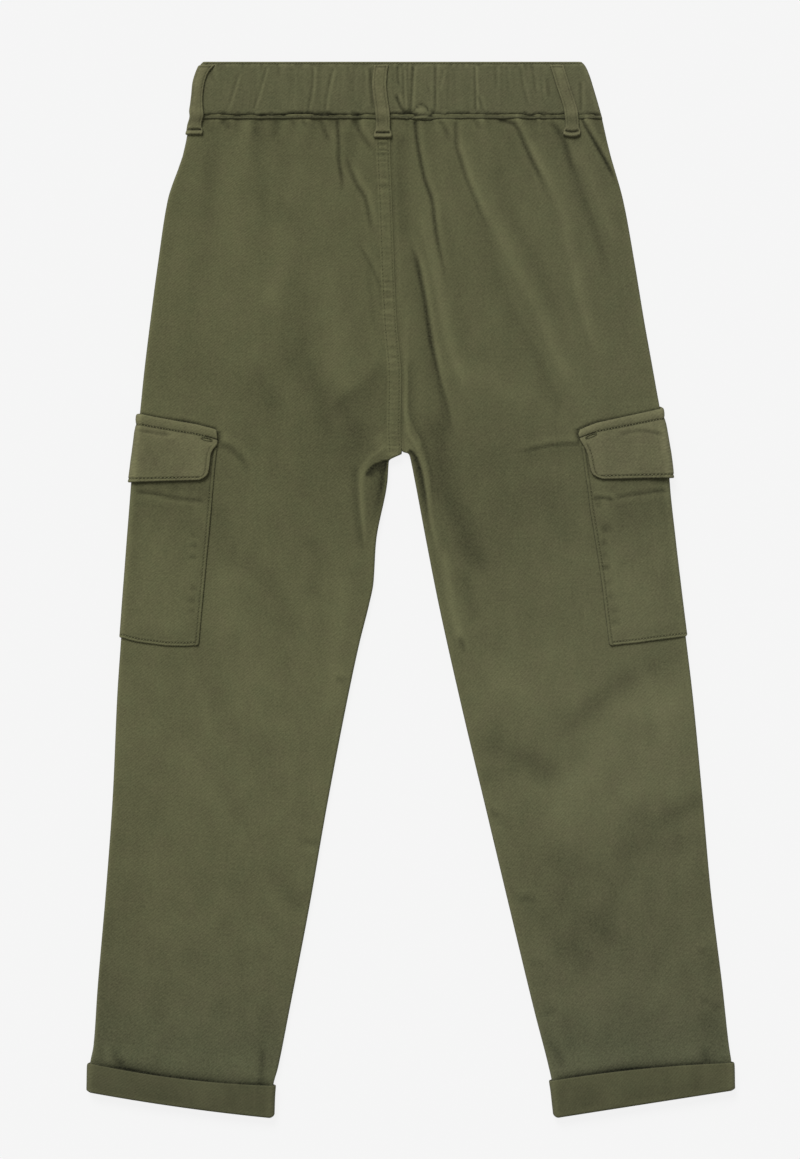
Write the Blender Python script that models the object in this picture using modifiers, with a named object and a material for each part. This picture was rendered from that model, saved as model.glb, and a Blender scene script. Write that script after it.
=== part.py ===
"""Child's pull-on cargo trousers of cotton twill, laid out flat with their back upwards.

Lengths are in millimetres until the meshes are made. +X is the right of the laid-out garment,
+Y runs towards the waist and +Z is up; the underside rests at z = 0. Each half of the garment is
a flattened tube. Its back and front are thin walls that meet along the side and the inside leg,
and what is sewn on a leg is the leg's own surface, moved outwards.
"""

from collections import namedtuple
from math import cos, pi, sin

import bpy
import numpy as np

MM = 0.001  # metres in a millimetre

WALL = 1.0  # thickness of one layer of twill
SEAM = 0.3  # gap between two pieces that are sewn together
FOLD = 2.2  # how far a side fold reaches beyond the flat part of its section
BAND_WALL = 2.0  # casing and elastic together
BAND_DEPTH = 5.6  # back of the waistband above the surface it lies on
BAND_FOLD = 2.8
TURN_UP_WALL = 1.6  # two layers of twill, pressed
HEM_SLACK = 0.9  # between the end of a leg's wall and the foot of its turn-up
LOOP_WALL = 1.2
LOOP_WIDTH = 10.6
WAIST_SEAM = 337.5  # level at which the waistband meets the four panels
EDGE = 1.0  # how far a raised stretch runs past the piece that raises it
RAMP = 12.0  # length over which the cloth comes down from it
BRIDGE = (-12.0, -6.0, 0.0, 6.0, 12.0)  # reach of the upper cloth over steps below it
PIECE = SEAM + WALL  # what one sewn-on layer adds to the pile
FRONT_REACH = 57.0  # pocket and flap on the front, from the side fold

# How finely the pieces are divided: angles round a fold, and distances between rows.
SEAM_TURNS = (8.0, 14.0, 38.0, 64.0, 90.0)  # from a side seam up, or down, to the flat
FOLD_STEPS = 7  # columns round a whole fold
HIP_SPACING = 10.5
LEG_SPACING = 24.0

LEFT, RIGHT = -1, 1

# One row for each section of a half, from the waist to the hem.
# y: level of its middle; tilt: how much higher its outer end lies; bow: how far its middle sags
# below a straight line; outer, inner: x of its ends; depth: height of the pile; roll: 0 where the
# inner end is the rise seam, 1 where it is a fold.
Section = namedtuple("Section", "y tilt bow outer inner depth roll")
LEFT_SECTIONS = (
    Section(WAIST_SEAM, 0.0, 0.0, -156.4, -14.8, 4.9, 0.0),
    Section(312.0, 0.0, 0.0, -161.0, -14.4, 4.7, 0.0),
    Section(276.5, 0.0, 0.0, -172.7, -13.0, 4.5, 0.0),
    Section(234.0, 0.0, 0.0, -179.3, -11.5, 4.4, 0.0),
    Section(191.0, 0.0, 0.0, -185.0, -9.6, 4.4, 0.0),
    Section(149.0, 0.0, 0.0, -190.0, -6.4, 4.6, 0.0),
    Section(113.0, 0.0, 0.0, -193.4, -6.9, 4.9, 0.0),
    Section(103.0, 0.0, 0.0, -194.4, -6.4, 5.0, 0.45),
    Section(98.5, 0.2, 0.0, -194.9, -6.0, 5.0, 1.0),
    Section(91.5, 0.6, 0.0, -195.7, -14.6, 5.0, 1.0),
    Section(78.0, 1.4, 0.0, -196.9, -16.4, 4.9, 1.0),
    Section(35.0, 3.5, 0.0, -200.3, -24.4, 4.6, 1.0),
    Section(7.0, 4.7, 0.0, -202.4, -26.2, 4.5, 1.0),
    Section(-7.5, 5.5, 0.0, -203.5, -29.2, 4.4, 1.0),
    Section(-35.0, 6.6, 0.0, -205.5, -36.2, 4.3, 1.0),
    Section(-78.5, 8.2, 0.0, -208.5, -45.6, 4.2, 1.0),
    Section(-149.5, 10.6, 0.0, -211.6, -59.4, 4.2, 1.0),
    Section(-220.5, 12.8, 0.0, -216.6, -72.0, 4.2, 1.0),
    Section(-291.5, 14.6, 0.5, -222.6, -85.9, 4.2, 1.0),
    Section(-332.0, 15.4, 1.8, -225.4, -94.0, 4.3, 1.0),
    Section(-346.0, 15.8, 3.0, -227.8, -97.6, 4.4, 1.0),
    Section(-365.2, 18.3, 1.4, -228.5, -98.4, 4.4, 1.0),
)
RIGHT_SECTIONS = (
    Section(WAIST_SEAM, 0.0, 0.0, 135.5, -14.8, 4.9, 0.0),
    Section(312.0, 0.0, 0.0, 141.3, -14.4, 4.7, 0.0),
    Section(276.5, 0.0, 0.0, 151.2, -13.0, 4.5, 0.0),
    Section(234.0, 0.0, 0.0, 159.0, -11.5, 4.4, 0.0),
    Section(191.0, 0.0, 0.0, 166.1, -9.6, 4.4, 0.0),
    Section(149.0, 0.0, 0.0, 173.6, -6.4, 4.6, 0.0),
    Section(113.0, 0.0, 0.0, 179.6, -6.9, 4.9, 0.0),
    Section(103.0, 0.0, 0.0, 180.8, -6.4, 5.0, 0.45),
    Section(98.5, 0.2, 0.0, 181.3, -6.0, 5.0, 1.0),
    Section(91.5, 0.6, 0.0, 181.9, 0.2, 5.0, 1.0),
    Section(78.0, 1.4, 0.0, 182.6, 2.6, 4.9, 1.0),
    Section(35.0, 3.7, 0.0, 187.0, 11.2, 4.6, 1.0),
    Section(-7.5, 5.8, 0.0, 191.9, 19.8, 4.4, 1.0),
    Section(-78.5, 8.8, 0.0, 200.5, 36.0, 4.2, 1.0),
    Section(-149.5, 11.4, 0.0, 207.2, 53.2, 4.2, 1.0),
    Section(-220.5, 13.8, 0.0, 213.4, 70.4, 4.2, 1.0),
    Section(-291.5, 16.0, 0.0, 221.9, 87.8, 4.2, 1.0),
    Section(-332.0, 17.4, 0.0, 226.4, 98.0, 4.3, 1.0),
    Section(-346.0, 18.2, 0.0, 228.0, 100.6, 4.4, 1.0),
    Section(-364.6, 21.4, 1.0, 228.6, 103.0, 4.4, 1.0),
)
SECTIONS = {LEFT: LEFT_SECTIONS, RIGHT: RIGHT_SECTIONS}
RISE_END = (103.0, 98.5)  # levels of the rows that round the end of the rise seam
LEG_TOP = 91.5  # level at which the two legs have parted

# The waistband's two ends, from its top edge to the waist seam.
BandSection = namedtuple("BandSection", "y left right")
BAND_SECTIONS = (
    BandSection(374.6, -147.8, 121.8),
    BandSection(372.6, -149.6, 123.8),
    BandSection(366.5, -152.2, 126.8),
    BandSection(354.5, -154.6, 130.6),
    BandSection(WAIST_SEAM + SEAM, -156.4, 135.5),
)
BAND_LEVELS = (366.0, 352.0)  # rows that the band and the belt loops on it share

# Creases of the elastic waist. Each runs down the band and on into the panel below it.
Gather = namedtuple("Gather", "top_x seam_x band_dip panel_dip reach")
GATHERS = (
    Gather(-122.5, -131.0, 0.9, 0.5, 16.0),
    Gather(-102.5, -111.5, 0.8, 0.5, 14.0),
    Gather(-87.0, -92.0, 0.4, 0.4, 12.0),
    Gather(-69.0, -71.5, 0.9, 0.6, 18.0),
    Gather(-54.5, -60.5, 0.7, 0.6, 16.0),
    Gather(-38.0, -40.0, 0.4, 0.7, 20.0),
    Gather(-4.0, -4.6, 1.1, 0.8, 26.0),
    Gather(6.0, 7.0, 0.6, 0.5, 14.0),
    Gather(17.5, 17.5, 0.9, 0.4, 12.0),
    Gather(33.0, 31.5, 0.5, 0.6, 20.0),
    Gather(46.0, 47.0, 0.9, 0.5, 16.0),
    Gather(63.5, 63.5, 0.6, 0.4, 14.0),
    Gather(78.5, 79.0, 0.6, 0.5, 18.0),
    Gather(93.0, 96.5, 0.5, 0.4, 14.0),
)
GATHER_WIDTH = 4.6

# Soft folds of the upper cloth: three points along each, its half-width, and its rise, which is
# below zero for a trough.
Crease = namedtuple("Crease", "x0 y0 x1 y1 x2 y2 width rise")
CREASES = (
    Crease(3, 330, 15, 281, 26, 220, 5.0, -1.2),
    Crease(-4, 300, 7, 262, 16, 215, 6.0, 0.8),
    Crease(1, 250, 14, 182, 30, 125, 5.5, -1.4),
    Crease(10, 245, 23, 180, 38, 128, 6.0, 1.3),
    Crease(33, 328, 49, 277, 90, 198, 5.5, -1.0),
    Crease(42, 316, 58, 274, 98, 200, 6.0, 0.9),
    Crease(74, 330, 97, 284, 134, 175, 5.5, -1.0),
    Crease(83, 312, 105, 276, 142, 175, 6.5, 1.0),
    Crease(104, 328, 127, 272, 142, 236, 7.0, -0.7),
    Crease(122, 334, 132, 314, 144, 292, 5.5, -0.9),
    Crease(-52, 331, -50, 310, -48, 286, 4.6, -0.9),
    Crease(-47, 306, -38, 289, -26, 256, 5.0, -0.8),
    Crease(-75, 230, -78, 205, -71, 142, 9.0, -0.6),
    Crease(-30, 84, -34, 49, -29, 4, 6.0, 1.0),
    Crease(-40, 66, -43, 45, -37, 0, 6.0, -0.8),
    Crease(-28, 92, -22, 86, -19, 84, 6.0, -1.0),
    Crease(2, 96, 6, 84, 9, 72, 5.0, -1.0),
    Crease(13, 84, 24, 20, 42, -46, 6.5, 1.2),
    Crease(28, 70, 42, 20, 52, -8, 7.0, -0.7),
    Crease(181, -46, 127, -78, 107, -98, 9.0, -0.7),
    Crease(46, -90, 70, -114, 107, -132, 8.0, -0.9),
    Crease(202, -153, 174, -169, 159, -164, 8.0, -0.7),
)
CALM = 22.0  # no ridge rises within this distance of the waist seam

# A cargo pocket and its flap. Levels are at the side fold. The slopes tell how fast an edge
# drops towards the inner leg on the back; on the front the edges run level.
Pocket = namedtuple("Pocket", "mouth mouth_slope base base_slope reach")
POCKETS = {
    LEFT: Pocket(110.0, -0.16, -36.9, -0.065, 56.0),
    RIGHT: Pocket(113.0, -0.19, -35.4, -0.10, 55.5),
}
# Rows of a flap from its sewn edge to its free edge: level, slope, and reach on the back.
FlapRow = namedtuple("FlapRow", "y slope reach")
FLAPS = {
    LEFT: (
        FlapRow(125.0, -0.185, 57.0),
        FlapRow(111.0, -0.16, 58.0),
        FlapRow(99.0, -0.08, 55.0),
        FlapRow(87.0, -0.01, 53.0),
        FlapRow(79.0, 0.03, 50.5),
        FlapRow(76.0, 0.04, 46.0),
    ),
    RIGHT: (
        FlapRow(130.0, -0.25, 59.5),
        FlapRow(114.0, -0.19, 57.0),
        FlapRow(102.0, -0.12, 55.0),
        FlapRow(89.0, -0.05, 54.0),
        FlapRow(80.0, -0.02, 50.0),
        FlapRow(77.5, -0.02, 44.0),
    ),
}

# A turned-up hem: levels of its upper and its lower edge.
TurnUp = namedtuple("TurnUp", "top bottom")
TURN_UP_COLUMNS = 10
TURN_UPS = {LEFT: TurnUp(-343.3, -365.2), RIGHT: TurnUp(-341.5, -364.2)}

# A belt loop: x of its middle at the top and at the foot, and the level of its foot.
BeltLoop = namedtuple("BeltLoop", "name top_x foot_x foot")
BELT_LOOPS = (
    BeltLoop("belt_loop_centre", -20.6, -19.6, 320.8),
    BeltLoop("belt_loop_right", 103.6, 114.4, 322.6),
)
LOOP_TOP = 372.2
# The left loop lies on the side fold and bends over it: how far it reaches on to the back, and
# the turns of its columns up to the flat.
FOLD_LOOP_FOOT = 322.8
FOLD_LOOP_REACH = 9.4
FOLD_LOOP_TURNS = (30.0, 60.0, 90.0)

OLIVE = (0.102, 0.101, 0.053)  # linear colour of the dyed twill
TWILL_ROUGHNESS = 0.92


# ---------------------------------------------------------------- curves and levels


def smooth(at, knots, values):
    """Monotone cubic through (knots, values), read at `at`. The knots run downwards."""
    knots = np.asarray(knots, float)[::-1]
    values = np.asarray(values, float)[::-1]
    step = np.diff(knots)
    slope = np.diff(values) / step
    product = slope[:-1] * slope[1:]
    total = np.where(product > 0, slope[:-1] + slope[1:], 1.0)
    tangent = np.concatenate(
        [slope[:1], np.where(product > 0, 2 * product / total, 0.0), slope[-1:]]
    )
    k = np.clip(np.searchsorted(knots, at) - 1, 0, len(step) - 1)
    t = (at - knots[k]) / step[k]
    return (
        (1 + 2 * t) * (1 - t) ** 2 * values[k]
        + t * (1 - t) ** 2 * step[k] * tangent[k]
        + t * t * (3 - 2 * t) * values[k + 1]
        + t * t * (t - 1) * step[k] * tangent[k + 1]
    )


def column(rows, name):
    """One named column of a table."""
    return [getattr(row, name) for row in rows]


def levels(breaks, spacing):
    """Levels from the first break to the last, through each break, about `spacing` apart."""
    runs = [
        np.linspace(a, b, max(1, round(abs(b - a) / spacing)), endpoint=False)
        for a, b in zip(breaks, breaks[1:])
    ]
    return np.append(np.concatenate(runs), breaks[-1])


def arc(start, end, count):
    """Angles from start to end in degrees, as radians."""
    return np.radians(np.linspace(start, end, count))


# ---------------------------------------------------------------- the shape of the pile


def relief(x, y):
    """Height that folds and gathers add to the upper cloth at (x, y)."""
    height = np.zeros(np.broadcast(x, y).shape)
    for crease in CREASES:
        height += crease.rise * crease_profile(crease, x, y)
    calm = np.clip((WAIST_SEAM - y) / CALM, 0.0, 1.0)
    height = np.where(height > 0, height * calm, height)
    for gather in GATHERS:
        along = np.clip((WAIST_SEAM - y) / gather.reach, 0.0, 1.0)
        across = np.exp(-(((x - gather.seam_x) / GATHER_WIDTH) ** 2))
        height -= gather.panel_dip * across * (1 - along) ** 2
    return np.maximum(height, -1.3)


def crease_profile(crease, x, y):
    """1 on the crease's line, falling off as a bell across it and towards its two ends."""
    best = np.zeros(np.broadcast(x, y).shape)
    ends = (
        (crease.x0, crease.y0, crease.x1, crease.y1, 0.0),
        (crease.x1, crease.y1, crease.x2, crease.y2, 0.5),
    )
    for ax, ay, bx, by, start in ends:
        run_x, run_y = bx - ax, by - ay
        t = ((x - ax) * run_x + (y - ay) * run_y) / (run_x**2 + run_y**2)
        t = np.clip(t, 0.0, 1.0)
        away = np.hypot(x - ax - t * run_x, y - ay - t * run_y)
        fade = np.sin(pi * (start + 0.5 * t)) ** 0.7
        best = np.maximum(best, np.exp(-((away / crease.width) ** 2)) * fade)
    return best


def lift(side, y, away):
    """Height of the pocket, the flap and the turn-up that lie under the front of a leg.

    `away` is the distance from the side fold. Every ramp is straight, between the same levels
    as the rows of the front panel.
    """
    flap, pocket, turn_up = FLAPS[side], POCKETS[side], TURN_UPS[side]
    pile = (
        (flap[0].y + EDGE + RAMP, 0.0),
        (flap[0].y + EDGE, PIECE),
        (flap[0].y, PIECE),
        (flap[1].y, 2 * PIECE),
        (flap[-1].y - EDGE, 2 * PIECE),
        (flap[-1].y - RAMP, PIECE),
        (pocket.base - EDGE, PIECE),
        (pocket.base - EDGE - RAMP, 0.0),
    )
    rows = np.array(pile[::-1])
    along = np.interp(y, rows[:, 0], rows[:, 1])
    beside = np.interp(away, (FRONT_REACH + EDGE, FRONT_REACH + EDGE + RAMP), (1.0, 0.0))
    hem_levels = (turn_up.top + EDGE, turn_up.top + EDGE + RAMP)
    hem = np.interp(y, hem_levels, (SEAM + TURN_UP_WALL, 0.0))
    return along * beside + hem


def bridged_lift(side, y, away):
    """The lift as the upper cloth follows it, softened over the reach of BRIDGE."""
    nearby = [lift(side, y + dy, away + dx) for dy in BRIDGE for dx in BRIDGE]
    return np.mean(nearby, axis=0)


def leg_points(side, y, away, turn, out=0.0):
    """Points on the outer face of one half, moved out by `out`.

    A section is a flattened ring. `away` is how far a point's place on it lies from the side
    fold, and `turn` is the angle of its normal: 90 degrees above, -90 below, and between them
    round the two folds. Points past the middle of the section belong to the inner fold.
    """
    rows = SECTIONS[side]
    knots = column(rows, "y")
    tilt, bow, outer, inner, depth, roll = (
        smooth(y, knots, column(rows, name)) for name in Section._fields[1:]
    )
    inner = inner + side * SEAM / 2
    width = np.abs(outer - inner)
    at_inner = away > width / 2
    roll = np.where(at_inner, np.clip(roll, 0.0, 1.0), 1.0)
    swing = (FOLD + out * roll) * np.cos(turn)
    x = outer - side * away + side * np.where(at_inner, -swing, swing)
    along = np.abs(x - outer) / width
    level = y + tilt * (0.5 - along) - bow * 4 * along * (1 - along)
    lower = lift(side, y, away)
    upper = bridged_lift(side, y, away) + depth
    upper = upper + relief(x, level) * np.clip(np.sin(turn), 0.0, 1.0)
    normal_z = np.sign(turn) * (1 - roll * (1 - np.abs(np.sin(turn))))
    z = (lower + upper) / 2 + ((upper - lower) / 2 + out) * normal_z
    return np.stack(np.broadcast_arrays(x, level, z), axis=-1)


def band_relief(x, y):
    """Dips of the gathered waistband at (x, y), never above its plain surface."""
    down = (BAND_SECTIONS[0].y - y) / (BAND_SECTIONS[0].y - WAIST_SEAM)
    height = np.zeros(np.broadcast(x, y).shape)
    for gather in GATHERS:
        middle = gather.top_x + (gather.seam_x - gather.top_x) * down
        height -= gather.band_dip * np.exp(-(((x - middle) / GATHER_WIDTH) ** 2))
    return height


def band_ends(y):
    """x of the waistband's left and right ends at levels y."""
    knots = column(BAND_SECTIONS, "y")
    return (smooth(y, knots, column(BAND_SECTIONS, end)) for end in ("left", "right"))


def band_points(y, away, turn, out=0.0):
    """Points on the outer face of the waistband; `away` is measured from its left end."""
    left, right = band_ends(y)
    swing = (BAND_FOLD + out) * np.cos(turn)
    x = left + away + np.where(away > (right - left) / 2, swing, -swing)
    half = BAND_DEPTH / 2
    z = half + (half + out) * np.sin(turn)
    z = z + band_relief(x, y) * np.clip(np.sin(turn), 0.0, 1.0)
    return np.stack(np.broadcast_arrays(x, y, z), axis=-1)


# ---------------------------------------------------------------- meshes


def cloth(name, points, wall, closed=False):
    """A wall of cloth: a grid of points on its outer face, thickened inwards.

    The grid is (rows, columns, 3), with the rows running down the garment and the columns
    anticlockwise about +Y seen from the waist. A closed grid joins its last column to its first.
    """
    rows, columns, _ = points.shape
    index = np.arange(rows * columns).reshape(rows, columns)
    if closed:
        index = np.concatenate([index, index[:, :1]], axis=1)
    faces = np.stack(
        [index[:-1, :-1], index[1:, :-1], index[1:, 1:], index[:-1, 1:]], axis=-1
    ).reshape(-1, 4)
    mesh = bpy.data.meshes.new(name)
    mesh.from_pydata((points.reshape(-1, 3) * MM).tolist(), [], faces.tolist())
    mesh.shade_smooth()
    piece = bpy.data.objects.new(name, mesh)
    garment.objects.link(piece)
    shell = piece.modifiers.new("wall", "SOLIDIFY")
    shell.thickness = wall * MM
    shell.offset = -1.0
    shell.use_even_offset = True
    mesh.materials.append(twill(name))
    return piece


def twill(name):
    """A matt olive twill of the piece's own."""
    material = bpy.data.materials.new(name)
    material.use_nodes = True
    shader = material.node_tree.nodes["Principled BSDF"]
    shader.inputs["Base Color"].default_value = (*OLIVE, 1.0)
    shader.inputs["Roughness"].default_value = TWILL_ROUGHNESS
    shader.inputs["Metallic"].default_value = 0.0
    return material


# ---------------------------------------------------------------- the sewn pieces


def leg_width(side, y):
    """Distance between the two ends of the sections at levels y."""
    knots = column(SECTIONS[side], "y")
    outer = smooth(y, knots, column(SECTIONS[side], "outer"))
    inner = smooth(y, knots, column(SECTIONS[side], "inner"))
    return np.abs(outer - inner - side * SEAM / 2)


def flat_columns(side, y, near, rest):
    """Distances from the side fold across the flat of each section: (rows, columns).

    `near` columns reach past the pocket on the front and the rest spread to the inner fold.
    """
    past = FRONT_REACH + EDGE
    fixed = np.append(np.linspace(FOLD, past, near), past + RAMP)
    spread = np.linspace(0.0, 1.0, rest + 1)[1:]
    far = fixed[-1] + (leg_width(side, y)[:, None] - FOLD - fixed[-1]) * spread
    return np.concatenate([np.broadcast_to(fixed, (len(y), len(fixed))), far], axis=1)


def half_ring(flat, above):
    """The columns of half a ring: its flat with a seam's corner at each end.

    `flat` holds distances from the first fold, (rows, columns). Gives distances and turns.
    """
    turns = np.radians(SEAM_TURNS) * (1 if above else -1)
    corner = np.ones(len(turns) - 1)
    away = np.concatenate([flat[:, :1] * corner, flat, flat[:, -1:] * corner], axis=1)
    turn = np.concatenate([turns[:-1], np.full(flat.shape[1], turns[-1]), turns[-2::-1]])
    return away, turn


def panel(name, side, y, near, rest, above):
    """A back panel (above) or a front panel, from the side seam to the rise and inside leg."""
    away, turn = half_ring(flat_columns(side, y, near, rest), above)
    points = leg_points(side, y[:, None], away, turn)
    if (side == LEFT) != above:
        points = points[:, ::-1]
    return cloth(name, points, WALL)


def panel_breaks(side):
    """Levels at which the pile under a leg, or its outline, changes."""
    flap, pocket, turn_up = FLAPS[side], POCKETS[side], TURN_UPS[side]
    raised = {
        flap[0].y + EDGE + RAMP,
        flap[0].y + EDGE,
        flap[0].y,
        flap[1].y,
        flap[-1].y - EDGE,
        flap[-1].y - RAMP,
        pocket.base - EDGE,
        pocket.base - EDGE - RAMP,
        turn_up.top + EDGE + RAMP,
        turn_up.top + EDGE,
        turn_up.top,
        (turn_up.top + turn_up.bottom) / 2,
    }
    return sorted(raised.union(RISE_END, [LEG_TOP]), reverse=True)


def around_the_fold(side, y, slope, back_reach, front, back):
    """Rows and columns of a piece wrapped round the side fold.

    It runs from FRONT_REACH on the front to `back_reach` on the back. Its rows are level on the
    front and fall by `slope` on the back. Gives the levels, distances and turns of its points.
    """
    under = np.linspace(FRONT_REACH, FOLD, front)
    fold = arc(-90, 90, FOLD_STEPS)
    over = np.linspace(0.0, 1.0, back)[1:]
    back_away = FOLD + (back_reach[:, None] - FOLD) * over
    rows = len(y)
    away = np.concatenate(
        [
            np.broadcast_to(under[:-1], (rows, front - 1)),
            np.full((rows, len(fold)), FOLD),
            back_away,
        ],
        axis=1,
    )
    turn = np.concatenate([np.full(front - 1, -pi / 2), fold, np.full(back - 1, pi / 2)])
    level = y[:, None] + slope[:, None] * np.where(turn > 0, away, 0.0)
    return level, away, turn


def facing_out(side, points):
    """The columns in the order that turns the faces outwards on this side."""
    return points if side == LEFT else points[:, ::-1]


def cargo_pocket(name, side):
    """A patch pocket wrapped round the side of the leg, from under its flap to its base."""
    pocket, flap = POCKETS[side], FLAPS[side]
    steps = (pocket.mouth, flap[-1].y - EDGE, flap[-1].y - RAMP, pocket.base)
    y = levels(steps, 13.0)
    slope = np.interp(y, (pocket.base, pocket.mouth), (pocket.base_slope, pocket.mouth_slope))
    reach = np.full(len(y), pocket.reach)
    level, away, turn = around_the_fold(side, y, slope, reach, 4, 7)
    points = leg_points(side, level, away, turn, PIECE)
    return cloth(name, facing_out(side, points), WALL)


def pocket_flap(name, side):
    """The flap: sewn flat to the leg along its top, and lying on the pocket below that."""
    rows = FLAPS[side]
    y, slope, reach = (np.array(column(rows, field)) for field in FlapRow._fields)
    out = np.where(np.arange(len(rows)) == 0, PIECE, 2 * PIECE)
    level, away, turn = around_the_fold(side, y, slope, reach, 4, 8)
    points = leg_points(side, level, away, turn, out[:, None])
    return cloth(name, facing_out(side, points), WALL)


def turn_up(name, side):
    """The hem turned up once on the outside: a band round the leg with a foot under its end."""
    hem = TURN_UPS[side]
    full = SEAM + TURN_UP_WALL
    profile = (
        (hem.top, full),
        ((hem.top + hem.bottom) / 2, full),
        (hem.bottom + full * (1 - sin(pi / 6)), full * cos(pi / 6) + SEAM / 2),
        (hem.bottom, 0.0),
        (hem.bottom, -WALL),
    )
    y, out = (np.array(values)[:, None] for values in zip(*profile))
    width = leg_width(side, y)
    over = FOLD + (width - 2 * FOLD) * np.linspace(0.0, 1.0, TURN_UP_COLUMNS + 2)[1:-1]
    fold = arc(-90, 90, FOLD_STEPS)
    at_fold = np.ones((len(profile), FOLD_STEPS))
    away = np.concatenate(
        [FOLD * at_fold, over, (width - FOLD) * at_fold, over[:, ::-1]], axis=1
    )
    flat = np.full(TURN_UP_COLUMNS, pi / 2)
    turn = np.concatenate([fold, flat, fold[::-1], -flat])
    points = leg_points(side, y, away, turn, out)
    return cloth(name, facing_out(side, points), TURN_UP_WALL, closed=True)


def waistband(name, above, columns):
    """Half of the elastic waistband, from side fold to side fold."""
    top, below_top = BAND_SECTIONS[0].y, BAND_SECTIONS[1].y
    y = np.array([top, below_top, *BAND_LEVELS, BAND_SECTIONS[-1].y])[:, None]
    left, right = band_ends(y)
    flat = BAND_FOLD + (right - left - 2 * BAND_FOLD) * np.linspace(0.0, 1.0, columns)
    away, turn = half_ring(flat, above)
    points = band_points(y, away, turn)
    if not above:
        points = points[:, ::-1]
    return cloth(name, points, BAND_WALL)


def loop_levels(foot):
    """Levels down a belt loop, with a step over the waist seam."""
    step = (WAIST_SEAM + 2.0, WAIST_SEAM - 4.0)
    return np.array([LOOP_TOP, *BAND_LEVELS, *step, foot])[:, None]


def belt_loop(loop):
    """A straight loop over the waistband, sewn down just below it."""
    y = loop_levels(loop.foot)
    middle = np.interp(y, (loop.foot, LOOP_TOP), (loop.foot_x, loop.top_x))
    x = middle + LOOP_WIDTH * np.array([-0.5, 0.0, 0.5])
    depth = smooth(y, column(LEFT_SECTIONS, "y"), column(LEFT_SECTIONS, "depth"))
    z = np.where(y > WAIST_SEAM, BAND_DEPTH, depth) + SEAM + LOOP_WALL
    points = np.stack(np.broadcast_arrays(x, y, z), axis=-1)
    return cloth(loop.name, points, LOOP_WALL)


def fold_loop(name):
    """The loop on the left side fold, bent over the edge of the waistband and the hip."""
    y = loop_levels(FOLD_LOOP_FOOT)
    out = SEAM + LOOP_WALL
    turn = np.radians([*FOLD_LOOP_TURNS, 90.0, 90.0])
    reach = np.append(np.zeros(len(FOLD_LOOP_TURNS)), (0.5, 1.0))
    on_band = band_points(y, BAND_FOLD + (FOLD_LOOP_REACH - BAND_FOLD) * reach, turn, out)
    on_leg = leg_points(LEFT, y, FOLD + (FOLD_LOOP_REACH - FOLD) * reach, turn, out)
    points = np.where((y > WAIST_SEAM)[..., None], on_band, on_leg)
    return cloth(name, points, LOOP_WALL)


for thing in list(bpy.data.objects):
    bpy.data.objects.remove(thing, do_unlink=True)

garment = bpy.data.collections.new("cargo_trousers")
bpy.context.scene.collection.children.link(garment)

for side, word in ((LEFT, "left"), (RIGHT, "right")):
    hem_end = TURN_UPS[side].bottom + TURN_UP_WALL + HEM_SLACK
    breaks = [WAIST_SEAM, *panel_breaks(side), hem_end]
    hips = levels([b for b in breaks if b >= LEG_TOP], HIP_SPACING)
    leg = levels([b for b in breaks if b <= LEG_TOP], LEG_SPACING)
    back_rows = np.concatenate([hips, leg[1:]])
    panel(f"back_{word}_panel", side, back_rows, 7, 13, above=True)
    panel(f"front_{word}_panel", side, levels(breaks, LEG_SPACING), 3, 4, above=False)
    cargo_pocket(f"cargo_pocket_{word}", side)
    pocket_flap(f"pocket_flap_{word}", side)
    turn_up(f"turn_up_{word}", side)

waistband("waistband_back", True, 54)
waistband("waistband_front", False, 12)
for loop in BELT_LOOPS:
    belt_loop(loop)
fold_loop("belt_loop_left")
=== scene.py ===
# %% [markdown]
# # Child's cargo trousers, laid out flat
#
# A pair of pull-on trousers in garment-dyed cotton twill, lying on their front with the back
# upwards. This lesson dresses a plain solid model with real cloth: every panel, pocket and hem
# becomes a thin wall whose surface is worked out with numpy, one point of a grid at a time, and
# then gets its folds, its sewing and its weave.

# %% Load the frame
import re
from collections import namedtuple
from math import pi

import bpy
import numpy as np
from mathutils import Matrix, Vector


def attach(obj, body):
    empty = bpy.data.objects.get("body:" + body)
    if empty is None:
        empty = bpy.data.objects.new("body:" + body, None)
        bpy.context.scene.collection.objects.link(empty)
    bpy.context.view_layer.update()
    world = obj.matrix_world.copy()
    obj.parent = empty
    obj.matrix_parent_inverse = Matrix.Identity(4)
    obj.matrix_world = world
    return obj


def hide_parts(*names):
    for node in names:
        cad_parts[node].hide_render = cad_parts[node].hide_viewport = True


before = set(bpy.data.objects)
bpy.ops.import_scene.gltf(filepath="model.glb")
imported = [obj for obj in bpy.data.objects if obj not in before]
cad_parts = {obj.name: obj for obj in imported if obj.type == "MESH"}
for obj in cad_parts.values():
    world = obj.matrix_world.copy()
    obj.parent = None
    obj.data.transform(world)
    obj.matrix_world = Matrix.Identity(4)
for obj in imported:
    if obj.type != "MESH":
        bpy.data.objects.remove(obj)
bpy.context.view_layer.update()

print("nodes to dress:", len(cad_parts))

# %% [markdown]
# ## The garment as a flattened tube
#
# Each half of the trousers is a tube that has been pressed flat. A section across it is a long
# thin ring, so a place on the garment is told by three numbers: the level y down the leg, the
# distance `away` from the side fold, and the `turn` of the cloth's face, which is 90 degrees on
# the upper side, -90 underneath and in between on the two folds. All tables are in millimetres,
# and the points become metres when a mesh is made.

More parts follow.
